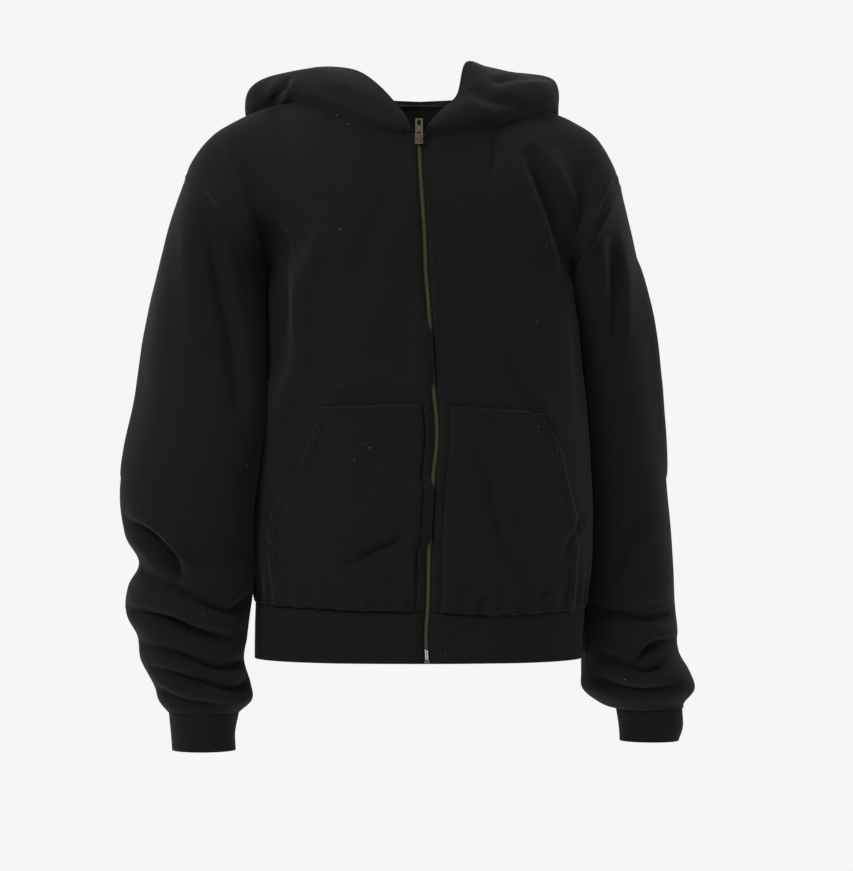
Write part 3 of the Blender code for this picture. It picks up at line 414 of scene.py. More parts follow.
# ---- torso surface ----------------------------------------------------------
def ring_point(rows, angle, z):
    """Point of a body ring: angle 0 is the middle of the front, 90 the wearer's left."""
    sine, cosine = np.sin(angle), np.cos(angle)
    right, left = read(rows, "z", "right", z), read(rows, "z", "left", z)
    share = 2.0 / read(rows, "z", "power", z)
    depth = np.where(cosine > 0, read(rows, "z", "front", z), read(rows, "z", "back", z))
    x = (right + left) / 2 + (left - right) / 2 * np.sign(sine) * np.abs(sine)**share
    y = depth * np.abs(cosine)**share
    return np.stack((x, y, np.broadcast_to(z, x.shape)), axis=-1)


def angle_at(rows, x, z):
    """Angle of the front point of a ring that has this X."""
    right, left = read(rows, "z", "right", z), read(rows, "z", "left", z)
    reach = (x - (right + left) / 2) / ((left - right) / 2)
    power = read(rows, "z", "power", z)
    return np.sign(reach) * np.arcsin(np.minimum(np.abs(reach), 1.0)**(power / 2))


def zip_x(z):
    return read(ZIP_LINE, "z", "x", z)


def hem_z(x):
    return spline(column(HEM_SEAM, "x"), column(HEM_SEAM, "z"), np.clip(x, -184, 193))


def side_angle(z, gap):
    """How far short of the side an edge stops, to leave this gap in Y."""
    power = read(TORSO, "z", "power", z)
    return (gap / 120.0)**(power / 2)


def front_angles(side, z):
    """Angles of a front's grid columns: zip edge, pocket, side seam."""
    height = np.array([float(z)])
    edge = angle_at(TORSO, zip_x(height) + side * (CHAIN_WIDTH / 2 + SEAM_GAP), height)[0]
    inner = angle_at(TORSO, zip_x(height) + side * FACING, height)[0]
    outer = angle_at(TORSO, read(POCKET[side], "z", "outer", height), height)[0]
    seam = side * (math.pi / 2 - side_angle(height, SEAM_GAP / 2)[0])
    pocket = np.linspace(inner, outer, FRONT_COLUMNS["pocket"] + 1)
    beyond = np.linspace(outer, seam, FRONT_COLUMNS["side"] + 1)[1:]
    return np.concatenate(([edge], pocket, beyond))


def back_angles(side, z, middle_steps):
    """Angles of half of the back's grid columns, from its middle to the side seam.

    Beyond the neck they keep the front's shares, so that both meet the shoulder seam alike.
    """
    front = front_angles(side, CHEST_LEVEL)
    shoulder = ((front - front[0]) / (front[-1] - front[0]))[-FRONT_COLUMNS["side"] - 1:]
    share = np.concatenate((np.linspace(0.0, shoulder[0], middle_steps + 1)[:-1], shoulder))
    seam = side * (math.pi / 2 + side_angle(np.array([float(z)]), SEAM_GAP / 2)[0])
    return side * math.pi + share * (seam - side * math.pi)


def back_top_rows(side):
    """The back shares the shoulder line with the front, and steers the other way."""
    shared = [row._replace(leave_y=-row.leave_y, meet_y=-row.meet_y)
              for row in FRONT_TOP[side] if row.share >= 0.5]
    return BACK_TOP[side] + tuple(shared)


def read_top(rows, name, share):
    """Read a top edge, which turns a corner where the neck seam meets the shoulder line."""
    neck = tuple(row for row in rows if row.share <= 0.5)
    shoulder = tuple(row for row in rows if row.share >= 0.5)
    share = np.asarray(share, float)
    return np.where(share < 0.5, read(neck, "share", name, share), read(shoulder, "share", name, share))


def top_part(rows, share, chest, climb):
    """Cloth above the chest line: a smooth arc from chest up to the top edge."""
    top = np.stack([read_top(rows, name, share) for name in "xyz"], axis=-1)
    zero = np.zeros_like(share)
    leave = np.stack((zero, read_top(rows, "leave_y", share), read_top(rows, "leave_z", share)), axis=-1)
    meet = np.stack((zero, read_top(rows, "meet_y", share), read_top(rows, "meet_z", share)), axis=-1)
    t = climb[..., None]
    return ((2 * t**3 - 3 * t**2 + 1) * chest + (t**3 - 2 * t**2 + t) * leave
            + (3 * t**2 - 2 * t**3) * top + (t**3 - t**2) * meet)


def shoulder_rows(rows, share, chest, steps):
    """Rows from the chest line up, closer together where the cloth turns over the top."""
    climbs = SHOULDER_END * (1.0 - (1.0 - np.linspace(0.0, 1.0, steps + 1))**1.5)
    return [top_part(rows, share, chest, np.full_like(share, climb)) for climb in climbs]


def front_grid(side):
    """One front: hem seam, pocket top, chest line, then neck and shoulder."""
    at_zip, at_opening = POCKET_TOP[side]
    lines = []
    for step in np.linspace(0.0, 1.0, FRONT_ROWS["pocket"] + 1):
        level = -585.0 + step * (at_opening + 585.0)
        angles = front_angles(side, level)
        x = ring_point(TORSO, angles, level)[:, 0]
        across = np.clip(np.arange(len(x)) - 1.0, 0.0, FRONT_COLUMNS["pocket"])
        top = at_zip + across / FRONT_COLUMNS["pocket"] * (at_opening - at_zip)
        hem = hem_z(x) + SEAM_GAP / 2
        lines.append(ring_point(TORSO, angles, hem + step * (top - hem)))
    top = lines[-1][:, 2]
    for step in np.linspace(0.0, 1.0, FRONT_ROWS["chest"] + 1)[1:-1]:
        level = at_opening + step * (CHEST_LEVEL - at_opening)
        lines.append(ring_point(TORSO, front_angles(side, level), top + step * (CHEST_LEVEL - top)))
    angles = front_angles(side, CHEST_LEVEL)
    chest = ring_point(TORSO, angles, CHEST_LEVEL)
    share = (angles - angles[0]) / (angles[-1] - angles[0])
    return np.array(lines + shoulder_rows(FRONT_TOP[side], share, chest, FRONT_ROWS["shoulder"]))


def back_half_grid(side, columns, lower_steps, upper_steps):
    lines = []
    hem_angles = back_angles(side, -585.0, columns)
    hem = hem_z(ring_point(TORSO, hem_angles, -585.0)[:, 0]) + SEAM_GAP / 2
    for step in np.linspace(0.0, 1.0, lower_steps + 1)[:-1]:
        level = -585.0 + step * (CHEST_LEVEL + 585.0)
        angles = back_angles(side, level, columns)
        lines.append(ring_point(TORSO, angles, hem + step * (CHEST_LEVEL - hem)))
    angles = back_angles(side, CHEST_LEVEL, columns)
    chest = ring_point(TORSO, angles, CHEST_LEVEL)
    share = (angles - angles[0]) / (angles[-1] - angles[0])
    return np.array(lines + shoulder_rows(back_top_rows(side), share, chest, upper_steps))


def armhole(side, angles):
    """Edge of the body where a sleeve joins; 0 is the top, 90 the front."""
    turn = np.mod(angles, 2 * math.pi)
    in_front = turn <= math.pi
    climb = np.where(in_front, 1 - turn / math.pi, turn / math.pi - 1)
    share = np.ones_like(turn)
    seam = np.full_like(turn, side * math.pi / 2)
    chest = ring_point(TORSO, seam, CHEST_LEVEL)
    front = top_part(FRONT_TOP[side], share, chest, climb)
    back = top_part(back_top_rows(side), share, chest, climb)
    return np.where(in_front[..., None], front, back)


# ---- sleeve surface ---------------------------------------------------------
def sleeve_ring(side, row, angles):
    """Ring of a sleeve; angle 0 is its outer side, 90 its front."""
    turn, tip = math.radians(row.turn), math.radians(row.tip)
    outward = np.array((side * math.cos(turn) * math.cos(tip),
                        math.sin(turn) * math.cos(tip), math.sin(tip)))
    forward = np.array((side * math.sin(turn), -math.cos(turn), 0.0))
    middle = np.array((row.x, row.y, row.z), float)
    return (middle + row.across * np.cos(angles)[:, None] * outward
            + row.deep * np.sin(angles)[:, None] * forward)


def clear_of_torso(points, gap):
    """Push points out of the body, so that a sleeve lies against its side."""
    z = np.clip(points[..., 2], -645.0, CHEST_LEVEL)
    rows = TORSO
    right, left = read(rows, "z", "right", z), read(rows, "z", "left", z)
    middle = (right + left) / 2
    front, back = read(rows, "z", "front", z), read(rows, "z", "back", z)
    power = read(rows, "z", "power", z)
    half = (left - right) / 2 + gap
    depth = np.where(points[..., 1] < 0, -front, back) + gap
    reach = (np.abs((points[..., 0] - middle) / half)**power
             + np.abs(points[..., 1] / depth)**power)**(1 / power)
    push = np.where((reach < 1.0) & (points[..., 2] > -660.0), 1.0 / np.maximum(reach, 0.3), 1.0)
    push = np.where(points[..., 2] < CHEST_LEVEL, push, 1.0)
    moved = points.copy()
    moved[..., 0] = middle + (points[..., 0] - middle) * push
    moved[..., 1] = points[..., 1] * push
    return moved


def sleeve_grid(side, round_steps, long_steps):
    angles = np.linspace(0.0, 2 * math.pi, round_steps + 1)
    first = armhole(side, angles)
    under = (1 - np.cos(angles)) / 2                  # 0 at the top, 1 under the arm
    away = np.array((side * 0.72, 0.0, -0.69))
    first = first + away * (SEAM_GAP + ARMHOLE_TURN * under**0.8)[:, None]
    rings = [first] + [sleeve_ring(side, row, angles) for row in SLEEVE[side]]
    keys = np.arange(len(rings), dtype=float)
    grid = spline(keys, np.array(rings), np.linspace(0, keys[-1], long_steps + 1))
    return np.concatenate((grid[:1], clear_of_torso(grid[1:], SLEEVE_TO_TORSO)))


def cuff_grid(side, round_steps, long_steps):
    angles = np.linspace(0.0, 2 * math.pi, round_steps + 1)
    rings = [sleeve_ring(side, SleeveRing(row.x, row.y, row.z, row.across, row.deep, 0, 0), angles)
             for row in CUFF[side]]
    keys = np.arange(len(rings), dtype=float)
    return spline(keys, np.array(rings), np.linspace(0, keys[-1], long_steps + 1))


# ---- the other cloth pieces -------------------------------------------------
def band_grid(round_steps, long_steps):
    """Hem band, from the right side of the zip round the back to its left side."""
    level = np.array([-610.0])
    ends = []
    for side in (RIGHT, LEFT):
        edge = zip_x(level) + side * (CHAIN_WIDTH / 2 + SEAM_GAP)
        facing = zip_x(level) + side * FACING
        ends.append((angle_at(BAND, edge, level)[0], angle_at(BAND, facing, level)[0]))
    (start, start_facing), (end, end_facing) = ends
    run = np.linspace(start_facing, end_facing - 2 * math.pi, round_steps - 1)
    angles = np.concatenate(([start], run, [end - 2 * math.pi]))
    x = ring_point(BAND, angles, -600.0)[:, 0]
    top = hem_z(x) - SEAM_GAP / 2
    lines = []
    for step in np.linspace(0.0, 1.0, long_steps + 1):
        z = BAND_BOTTOM + step * (top - BAND_BOTTOM)
        line = ring_point(BAND, angles, z)
        for index, side, reach in ((0, RIGHT, CHAIN_WIDTH / 2 + SEAM_GAP), (1, RIGHT, FACING),
                                   (-2, LEFT, FACING), (-1, LEFT, CHAIN_WIDTH / 2 + SEAM_GAP)):
            line[index, 0] = zip_x(z[index:][:1])[0] + side * reach
        lines.append(line)
    return np.array(lines)


def neck_edge(side, share):
    """Body's edge at the neck seam, by share from the zip to the middle of the back."""
    in_front = share <= 0.5
    reach = np.where(in_front, share, 1.0 - share)
    front = np.stack([read_top(FRONT_TOP[side], name, reach) for name in "xyz"], axis=-1)
    back = np.stack([read_top(back_top_rows(side), name, reach) for name in "xyz"], axis=-1)
    return np.where(in_front[:, None], front, back)


def hood_grid(side, strip_steps, round_steps):
    rows = HOOD[side]
    keys = np.arange(len(rows), dtype=float)
    at = np.linspace(0, keys[-1], strip_steps + 1)
    share = np.clip(spline(keys, column(rows, "share"), at), 0.0, 1.0)
    seat = spline(keys, [row.seat for row in rows], at)
    lines = [neck_edge(side, share) + seat]
    for name in ("under", "belly", "over", "edge"):
        lines.append(spline(keys, [getattr(row, name) for row in rows], at))
    keys = np.arange(len(lines), dtype=float)
    return spline(keys, np.array(lines), np.linspace(0, keys[-1], round_steps + 1))


# ---- folds on a panel -------------------------------------------------------
def grid_normals(grid, closed):
    """Unit normals of a grid of points; a closed grid's last column repeats its first."""
    along = np.gradient(grid, axis=0)
    if closed:
        wrapped = np.concatenate((grid[:, -2:-1], grid, grid[:, 1:2]), axis=1)
        across = np.gradient(wrapped, axis=1)[:, 1:-1]
    else:
        across = np.gradient(grid, axis=1)
    normal = np.cross(across, along)
    return normal / np.maximum(np.linalg.norm(normal, axis=-1, keepdims=True), 1e-9)


def outward_normals(grid, middle, closed=False):
    """Grid normals, turned to point away from a middle line."""
    normal = grid_normals(grid, closed)
    away = grid[..., :2] - np.asarray(middle)[..., :2]
    if np.sum(normal[..., :2] * away) < 0:
        normal = -normal
    return normal


def path_distance(points, path):
    """Signed distance of 2D points from a smooth path, and how far along it each lies."""
    path = np.asarray(path, float)
    keys = np.arange(len(path), dtype=float)
    path = spline(keys, path, np.linspace(0, keys[-1], 5 * (len(path) - 1) + 1))
    best = np.full(points.shape[:-1], 1e9)
    signed = np.zeros(points.shape[:-1])
    place = np.zeros(points.shape[:-1])
    for index in range(len(path) - 1):
        start, run = path[index], path[index + 1] - path[index]
        offset = points - start
        t = np.clip(np.sum(offset * run, axis=-1) / np.dot(run, run), 0.0, 1.0)
        distance = np.linalg.norm(offset - t[..., None] * run, axis=-1)
        side = np.sign(run[0] * offset[..., 1] - run[1] * offset[..., 0])
        nearer = distance < best
        best = np.where(nearer, distance, best)
        signed = np.where(nearer, distance * side, signed)
        place = np.where(nearer, (index + t) / (len(path) - 1), place)
    return signed, place


def fold_amount(fold, flat):
    """How far a fold moves points, given where they lie on the face that it is seen on."""
    signed, place = path_distance(flat, fold.path)
    faded = np.sin(np.clip(place, 0.0, 1.0) * math.pi)**0.55
    amount = FOLD_SCALE * fold.height * np.exp(-(signed / fold.width)**2)
    if fold.lip:
        amount = amount + fold.lip * np.exp(-((signed - 1.7 * fold.width) / fold.width)**2)
        amount = amount + 0.5 * fold.lip * np.exp(-((signed + 1.9 * fold.width) / (1.3 * fold.width))**2)
    return amount * faded


def cloth_waves(grid, seed):
    """Slow unevenness of the cloth, a millimetre or so, from a few crossing waves."""
    chance = np.random.default_rng(seed)
    amount = np.zeros(grid.shape[:-1])
    for size in (150.0, 95.0, 60.0, 38.0):
        for _ in range(3):
            direction = chance.normal(size=3)
            direction = direction / np.linalg.norm(direction)
            phase = chance.uniform(0.0, 2 * math.pi)
            amount = amount + size / 260.0 * np.sin(grid @ direction * 2 * math.pi / size + phase)
    return amount * 0.55


def edge_fade(grid, closed, power=14):
    """1 on a panel, falling to 0 at its sewn edges, where its neighbours meet it."""
    along = np.abs(np.linspace(-1.0, 1.0, grid.shape[0]))
    across = np.zeros(grid.shape[1]) if closed else np.abs(np.linspace(-1.0, 1.0, grid.shape[1]))
    return (1.0 - along[:, None]**power) * (1.0 - across[None, :]**power)


def folded(name, grid, normals, seed, closed=False):
    """Move a panel's points by the folds that lie on it."""
    total = cloth_waves(grid, seed)
    for fold in FOLDS:
        if fold.panel != name:
            continue
        axis, facing = FACES[fold.face]
        weight = np.clip(normals @ facing * 1.8, 0.0, 1.0)
        total = total + fold_amount(fold, grid[..., (axis, 2)]) * weight
    return grid + normals * (total * edge_fade(grid, closed))[..., None]


def from_edge(grid, edge):
    """A grid turned so that the named edge is its first row; the same call turns it back."""
    if edge == "first":
        return grid.transpose(1, 0, 2)
    return grid[::-1] if edge == "high" else grid


def turned_in(grid, normals, edge="low", rows=((13.0, 5.5), (6.0, 2.8))):
    """Seam allowance: an edge carried on behind the panel that it is sewn to."""
    if edge == "last":
        flipped, out = grid[:, ::-1], normals[:, ::-1]
        flipped, out = turned_in(flipped, out, "first", rows)
        return flipped[:, ::-1], out[:, ::-1]
    facing, out = from_edge(grid, edge), from_edge(normals, edge)
    onward = facing[0] - facing[3]
    onward = onward / np.maximum(np.linalg.norm(onward, axis=-1, keepdims=True), 1e-9)
    taper = np.ones((facing.shape[1], 1))
    if np.linalg.norm(facing[0, 0] - facing[0, -1]) > 1.0:          # an open edge, not a ring
        share = np.sin(np.linspace(0.0, math.pi, facing.shape[1]))
        taper = np.clip(4.0 * share, 0.15, 1.0)[:, None]
    extra = np.array([facing[0] + onward * reach * taper - out[0] * depth
                      for reach, depth in rows])
    facing = np.concatenate((extra, facing))
    out = np.concatenate((np.repeat(out[:1], len(rows), axis=0), out))
    return from_edge(facing, edge), from_edge(out, edge)


# ---- meshes -----------------------------------------------------------------
def new_piece(name, shape, body, replaced=()):
    mesh = bpy.data.meshes.new(name)
    shape.to_mesh(mesh)
    shape.free()
    thing = bpy.data.objects.new(name, mesh)
    bpy.context.scene.collection.objects.link(thing)
    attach(thing, body)
    if replaced:
        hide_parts(*replaced)
    return thing


def grid_shape(grid, closed=False):
    """A bmesh grid laid on points in millimetres, with a UV map in metres of cloth."""
    long_steps, round_steps = grid.shape[0] - 1, grid.shape[1] - 1
    across = np.linalg.norm(np.diff(grid, axis=1), axis=-1).mean(axis=0).cumsum()
    along = np.linalg.norm(np.diff(grid, axis=0), axis=-1).mean(axis=1).cumsum()
    across, along = np.concatenate(([0.0], across)) * MM, np.concatenate(([0.0], along)) * MM
    shape = bmesh.new()
    bmesh.ops.create_grid(shape, x_segments=round_steps, y_segments=long_steps, size=1.0)
    layer = shape.loops.layers.uv.new("cloth")
    for vert in shape.verts:
        column_index = round((vert.co.x + 1) / 2 * round_steps)
        row_index = round((vert.co.y + 1) / 2 * long_steps)
        for loop in vert.link_loops:
            loop[layer].uv = (across[column_index], along[row_index])
        vert.co = grid[row_index, column_index] * MM
    if closed:
        bmesh.ops.remove_doubles(shape, verts=shape.verts, dist=0.0001)
    for face in shape.faces:
        face.smooth = True
    return shape


def cloth_piece(name, grid, wall, paint, replaced, closed=False):
    """A thin shell of cloth on a grid of points."""
    thing = new_piece(name, grid_shape(grid, closed), GARMENT, replaced)
    thing.data.materials.append(paint)
    thickness = thing.modifiers.new("wall", "SOLIDIFY")
    thickness.thickness = wall * MM
    thickness.offset = 0.0
    return thing


def boxes(name, places, size, body, paint, taper=1.0):
    """Many small blocks in one mesh: each place is (middle, along, out) in millimetres."""
    block = bmesh.new()
    bmesh.ops.create_cube(block, size=1.0)
    bmesh.ops.scale(block, vec=size, verts=block.verts)
    if taper != 1.0:
        for vert in block.verts:
            if vert.co.z > 0:
                vert.co.x *= taper
                vert.co.y *= taper
    template = bpy.data.meshes.new(name + "_block")
    block.to_mesh(template)
    block.free()
    shape = bmesh.new()
    for middle, along, out in places:
        first = len(shape.verts)
        shape.from_mesh(template)
        shape.verts.ensure_lookup_table()
        along = np.asarray(along, float) / np.linalg.norm(along)
        out = out - along * np.dot(out, along)
        out = out / np.linalg.norm(out)
        side = np.cross(out, along)
        for vert in shape.verts[first:]:
            local = vert.co
            vert.co = (middle + along * local.x + side * local.y + out * local.z) * MM
    bpy.data.meshes.remove(template)
    thing = new_piece(name, shape, body)
    thing.data.materials.append(paint)
    return thing


def stitch_run(points, outs, gap=0.0):
    """Places of stitches along a line of points on the cloth's outer face."""
    points, outs = np.asarray(points, float), np.asarray(outs, float)
    reach = np.concatenate(([0.0], np.linalg.norm(np.diff(points, axis=0), axis=1).cumsum()))
    places = []
    at = STITCH["pitch"]
    while at < reach[-1] - STITCH["pitch"]:
        middle = np.array([np.interp(at, reach, points[:, axis]) for axis in range(3)])
        ahead = np.array([np.interp(at + 1.0, reach, points[:, axis]) for axis in range(3)])
        out = np.array([np.interp(at, reach, outs[:, axis]) for axis in range(3)])
        places.append((middle + out * (WALL / 2 + gap + STITCH["proud"] / 2), ahead - middle, out))
        at += STITCH["pitch"]
    return places


# ---- materials --------------------------------------------------------------
def group_socket(tree, name, kind, inout, default=None):
    socket = tree.interface.new_socket(name=name, in_out=inout, socket_type=kind)
    if default is not None:
        socket.default_value = default
    return socket


def link_chain(tree, *pairs):
    for source, target in pairs:
        tree.links.new(source, target)


def brushed_knit_group():
    """Fleece-backed jersey: mottled dye, fine knit, nap and a little lint."""
    found = bpy.data.node_groups.get("brushed_knit")
    if found:
        return found
    tree = bpy.data.node_groups.new("brushed_knit", "ShaderNodeTree")
    group_socket(tree, "Dye", "NodeSocketColor", "INPUT", (0.02, 0.018, 0.019, 1.0))
    group_socket(tree, "Worn", "NodeSocketColor", "INPUT", (0.04, 0.036, 0.038, 1.0))
    group_socket(tree, "Mottle", "NodeSocketFloat", "INPUT", 0.4)
    group_socket(tree, "Knit Scale", "NodeSocketFloat", "INPUT", 900.0)
    group_socket(tree, "Lint", "NodeSocketFloat", "INPUT", 1.0)
    group_socket(tree, "Color", "NodeSocketColor", "OUTPUT")
    group_socket(tree, "Roughness", "NodeSocketFloat", "OUTPUT")
    group_socket(tree, "Height", "NodeSocketFloat", "OUTPUT")
    nodes = tree.nodes
    entry, leave = nodes.new("NodeGroupInput"), nodes.new("NodeGroupOutput")
    place = nodes.new("ShaderNodeTexCoord")

    patches = nodes.new("ShaderNodeTexNoise")
    patches.inputs["Scale"].default_value = 14.0
    patches.inputs["Detail"].default_value = 4.0
    grain = nodes.new("ShaderNodeTexNoise")
    grain.inputs["Detail"].default_value = 3.0
    fuzz = nodes.new("ShaderNodeTexNoise")
    fuzz.inputs["Scale"].default_value = 260.0
    fuzz.inputs["Detail"].default_value = 2.0
    lint = nodes.new("ShaderNodeTexVoronoi")
    lint.inputs["Scale"].default_value = 34.0
    speck = nodes.new("ShaderNodeMath")
    speck.operation = "LESS_THAN"
    speck.inputs[1].default_value = 0.026
    speck_on = nodes.new("ShaderNodeMath")
    speck_on.operation = "MULTIPLY"

    blend = nodes.new("ShaderNodeMix")
    blend.data_type = "RGBA"
    spread = nodes.new("ShaderNodeMath")
    spread.operation = "MULTIPLY"
    mixed = nodes.new("ShaderNodeMix")
    mixed.data_type = "RGBA"
    mixed.inputs["B"].default_value = (0.09, 0.085, 0.085, 1.0)
    shade = nodes.new("ShaderNodeMix")
    shade.data_type = "RGBA"
    shade.blend_type = "MULTIPLY"
    shade.inputs["Factor"].default_value = 0.35
    rough = nodes.new("ShaderNodeMapRange")
    rough.inputs["To Min"].default_value = 0.82
    rough.inputs["To Max"].default_value = 0.98
    height = nodes.new("ShaderNodeMath")
    height.operation = "ADD"
    link_chain(
        tree,
        (place.outputs["Object"], patches.inputs["Vector"]),
        (place.outputs["Object"], grain.inputs["Vector"]),
        (place.outputs["Object"], fuzz.inputs["Vector"]),
        (place.outputs["Object"], lint.inputs["Vector"]),
        (entry.outputs["Knit Scale"], grain.inputs["Scale"]),
        (patches.outputs["Fac"], spread.inputs[0]),
        (entry.outputs["Mottle"], spread.inputs[1]),
        (spread.outputs[0], blend.inputs["Factor"]),
        (entry.outputs["Dye"], blend.inputs["A"]),
        (entry.outputs["Worn"], blend.inputs["B"]),
        (blend.outputs["Result"], shade.inputs["A"]),
        (grain.outputs["Color"], shade.inputs["B"]),
        (lint.outputs["Distance"], speck.inputs[0]),
        (speck.outputs[0], speck_on.inputs[0]),
        (entry.outputs["Lint"], speck_on.inputs[1]),
        (speck_on.outputs[0], mixed.inputs["Factor"]),
        (shade.outputs["Result"], mixed.inputs["A"]),
        (mixed.outputs["Result"], leave.inputs["Color"]),
        (fuzz.outputs["Fac"], rough.inputs["Value"]),
        (rough.outputs["Result"], leave.inputs["Roughness"]),
        (grain.outputs["Fac"], height.inputs[0]),
        (fuzz.outputs["Fac"], height.inputs[1]),
        (height.outputs[0], leave.inputs["Height"]),
    )
    return tree


def cloth_material(name, dye, worn, mottle, knit_scale, lint, ribs=0.0, sheen=0.035):
    """Principled cloth around the knit group; ribs adds fine wales along the UV map."""
    found = bpy.data.materials.get(name)
    if found:
        return found
    paint = bpy.data.materials.new(name)
    paint.use_nodes = True
    tree = paint.node_tree
    shader = tree.nodes["Principled BSDF"]
    knit = tree.nodes.new("ShaderNodeGroup")
    knit.node_tree = brushed_knit_group()
    knit.inputs["Dye"].default_value = (*dye, 1.0)
    knit.inputs["Worn"].default_value = (*worn, 1.0)
    knit.inputs["Mottle"].default_value = mottle
    knit.inputs["Knit Scale"].default_value = knit_scale
    knit.inputs["Lint"].default_value = lint
    bump = tree.nodes.new("ShaderNodeBump")
    bump.inputs["Strength"].default_value = 0.35
    bump.inputs["Distance"].default_value = 0.0006
    shader.inputs["Specular IOR Level"].default_value = 0.14
    shader.inputs["Sheen Weight"].default_value = sheen
    shader.inputs["Sheen Roughness"].default_value = 0.5
    link_chain(
        tree,
        (knit.outputs["Color"], shader.inputs["Base Color"]),
        (knit.outputs["Roughness"], shader.inputs["Roughness"]),
        (bump.outputs["Normal"], shader.inputs["Normal"]),
    )
    if ribs:
        lines = tree.nodes.new("ShaderNodeTexWave")
        lines.inputs["Scale"].default_value = ribs
        lines.inputs["Distortion"].default_value = 0.4
        cloth_map = tree.nodes.new("ShaderNodeUVMap")
        cloth_map.uv_map = "cloth"
        total = tree.nodes.new("ShaderNodeMath")
        total.operation = "ADD"
        link_chain(
            tree,
            (cloth_map.outputs["UV"], lines.inputs["Vector"]),
            (lines.outputs["Fac"], total.inputs[0]),
            (knit.outputs["Height"], total.inputs[1]),
            (total.outputs[0], bump.inputs["Height"]),
        )
    else:
        tree.links.new(knit.outputs["Height"], bump.inputs["Height"])
    return paint


def metal_material(name, colour, dark):
    found = bpy.data.materials.get(name)
    if found:
        return found
    paint = bpy.data.materials.new(name)
    paint.use_nodes = True
    tree = paint.node_tree
    shader = tree.nodes["Principled BSDF"]
    shader.inputs["Metallic"].default_value = 1.0
    place = tree.nodes.new("ShaderNodeTexCoord")
    tarnish = tree.nodes.new("ShaderNodeTexNoise")
    tarnish.inputs["Scale"].default_value = 420.0
    tarnish.inputs["Detail"].default_value = 3.0
    tones = tree.nodes.new("ShaderNodeMix")
    tones.data_type = "RGBA"
    tones.inputs["A"].default_value = (*dark, 1.0)
    tones.inputs["B"].default_value = (*colour, 1.0)
    rough = tree.nodes.new("ShaderNodeMapRange")
    rough.inputs["To Min"].default_value = 0.55
    rough.inputs["To Max"].default_value = 0.3
    bump = tree.nodes.new("ShaderNodeBump")
    bump.inputs["Strength"].default_value = 0.2
    bump.inputs["Distance"].default_value = 0.0002
    link_chain(
        tree,
        (place.outputs["Object"], tarnish.inputs["Vector"]),
        (tarnish.outputs["Fac"], tones.inputs["Factor"]),
        (tarnish.outputs["Fac"], rough.inputs["Value"]),
        (tarnish.outputs["Fac"], bump.inputs["Height"]),
        (tones.outputs["Result"], shader.inputs["Base Color"]),
        (rough.outputs["Result"], shader.inputs["Roughness"]),
        (bump.outputs["Normal"], shader.inputs["Normal"]),
    )
    return paint


def paints():
    """The garment's finishes, from the colours in the panel."""
    colours = bpy.context.scene.hoodie_colours
    dye, worn = tuple(colours.cloth), tuple(colours.cloth_worn)
    return {
        "fleece": cloth_material("washed_fleece", dye, worn, 0.5, 900.0, 1.0),
        "band": cloth_material("band_jersey", dye, worn, 0.35, 1000.0, 0.5, ribs=190.0, sheen=0.03),
        "tape": cloth_material("zip_tape_weave", tuple(0.7 * c for c in dye), dye, 0.3, 1400.0, 0.0,
                               ribs=260.0, sheen=0.0),
        "thread": cloth_material("topstitch_thread", tuple(1.5 * c for c in dye), worn, 0.3, 2400.0,
                                 0.0, sheen=0.03),
        "metal": metal_material("aged_brass", tuple(colours.metal), tuple(colours.metal_dark)),
    }


# ---- settings ---------------------------------------------------------------
class HoodieSizes(PropertyGroup):
    fleece_wall: FloatProperty(
        name="Fleece", description="Thickness of the cloth", default=WALL * MM, min=0.0005,
        unit="LENGTH")
    band_wall: FloatProperty(
        name="Bands", description="Thickness of the cuffs and the hem band",
        default=RIB_WALL * MM, min=0.0005, unit="LENGTH")
    floor_depth: FloatProperty(
        name="Floor", description="How far the floor lies below the neck", default=1.3, min=0.8,
        unit="LENGTH")


class HoodieColours(PropertyGroup):
    cloth: FloatVectorProperty(
        name="Cloth", description="Washed black of the cloth", subtype="COLOR",
        default=(0.0048, 0.0042, 0.0045), min=0.0, max=1.0)
    cloth_worn: FloatVectorProperty(
        name="Faded cloth", description="Cloth where the dye has washed out", subtype="COLOR",
        default=(0.0100, 0.0090, 0.0095), min=0.0, max=1.0)
    metal: FloatVectorProperty(
        name="Zip", description="Aged brass of the zip", subtype="COLOR",
        default=(0.23, 0.19, 0.13), min=0.0, max=1.0)
    metal_dark: FloatVectorProperty(
        name="Tarnish", description="Dark of the zip's tarnish", subtype="COLOR",
        default=(0.07, 0.056, 0.038), min=0.0, max=1.0)
    backdrop: FloatVectorProperty(
        name="Backdrop", description="Floor and backdrop", subtype="COLOR",
        default=(0.9, 0.9, 0.9), min=0.0, max=1.0)


# ---- pieces -----------------------------------------------------------------
ENDS = ((RIGHT, "right"), (LEFT, "left"))
SURFACE = {}                       # grids and normals that later pieces are laid on


def gathers(grid, from_seam):
    """Small gathers above the hem seam, fading out up the body."""
    reach = np.linalg.norm(np.diff(grid, axis=1), axis=-1).cumsum(axis=1)
    reach = np.concatenate((np.zeros((len(grid), 1)), reach), axis=1)
    wave = np.sin(reach * 2 * math.pi / GATHER["pitch"] + 1.6 * np.sin(reach / 47.0))
    fade = np.exp(-(from_seam / GATHER["reach"])**2) * np.clip(from_seam / 4.0, 0.0, 1.0)
    return GATHER["depth"] * (wave - 0.2) * fade


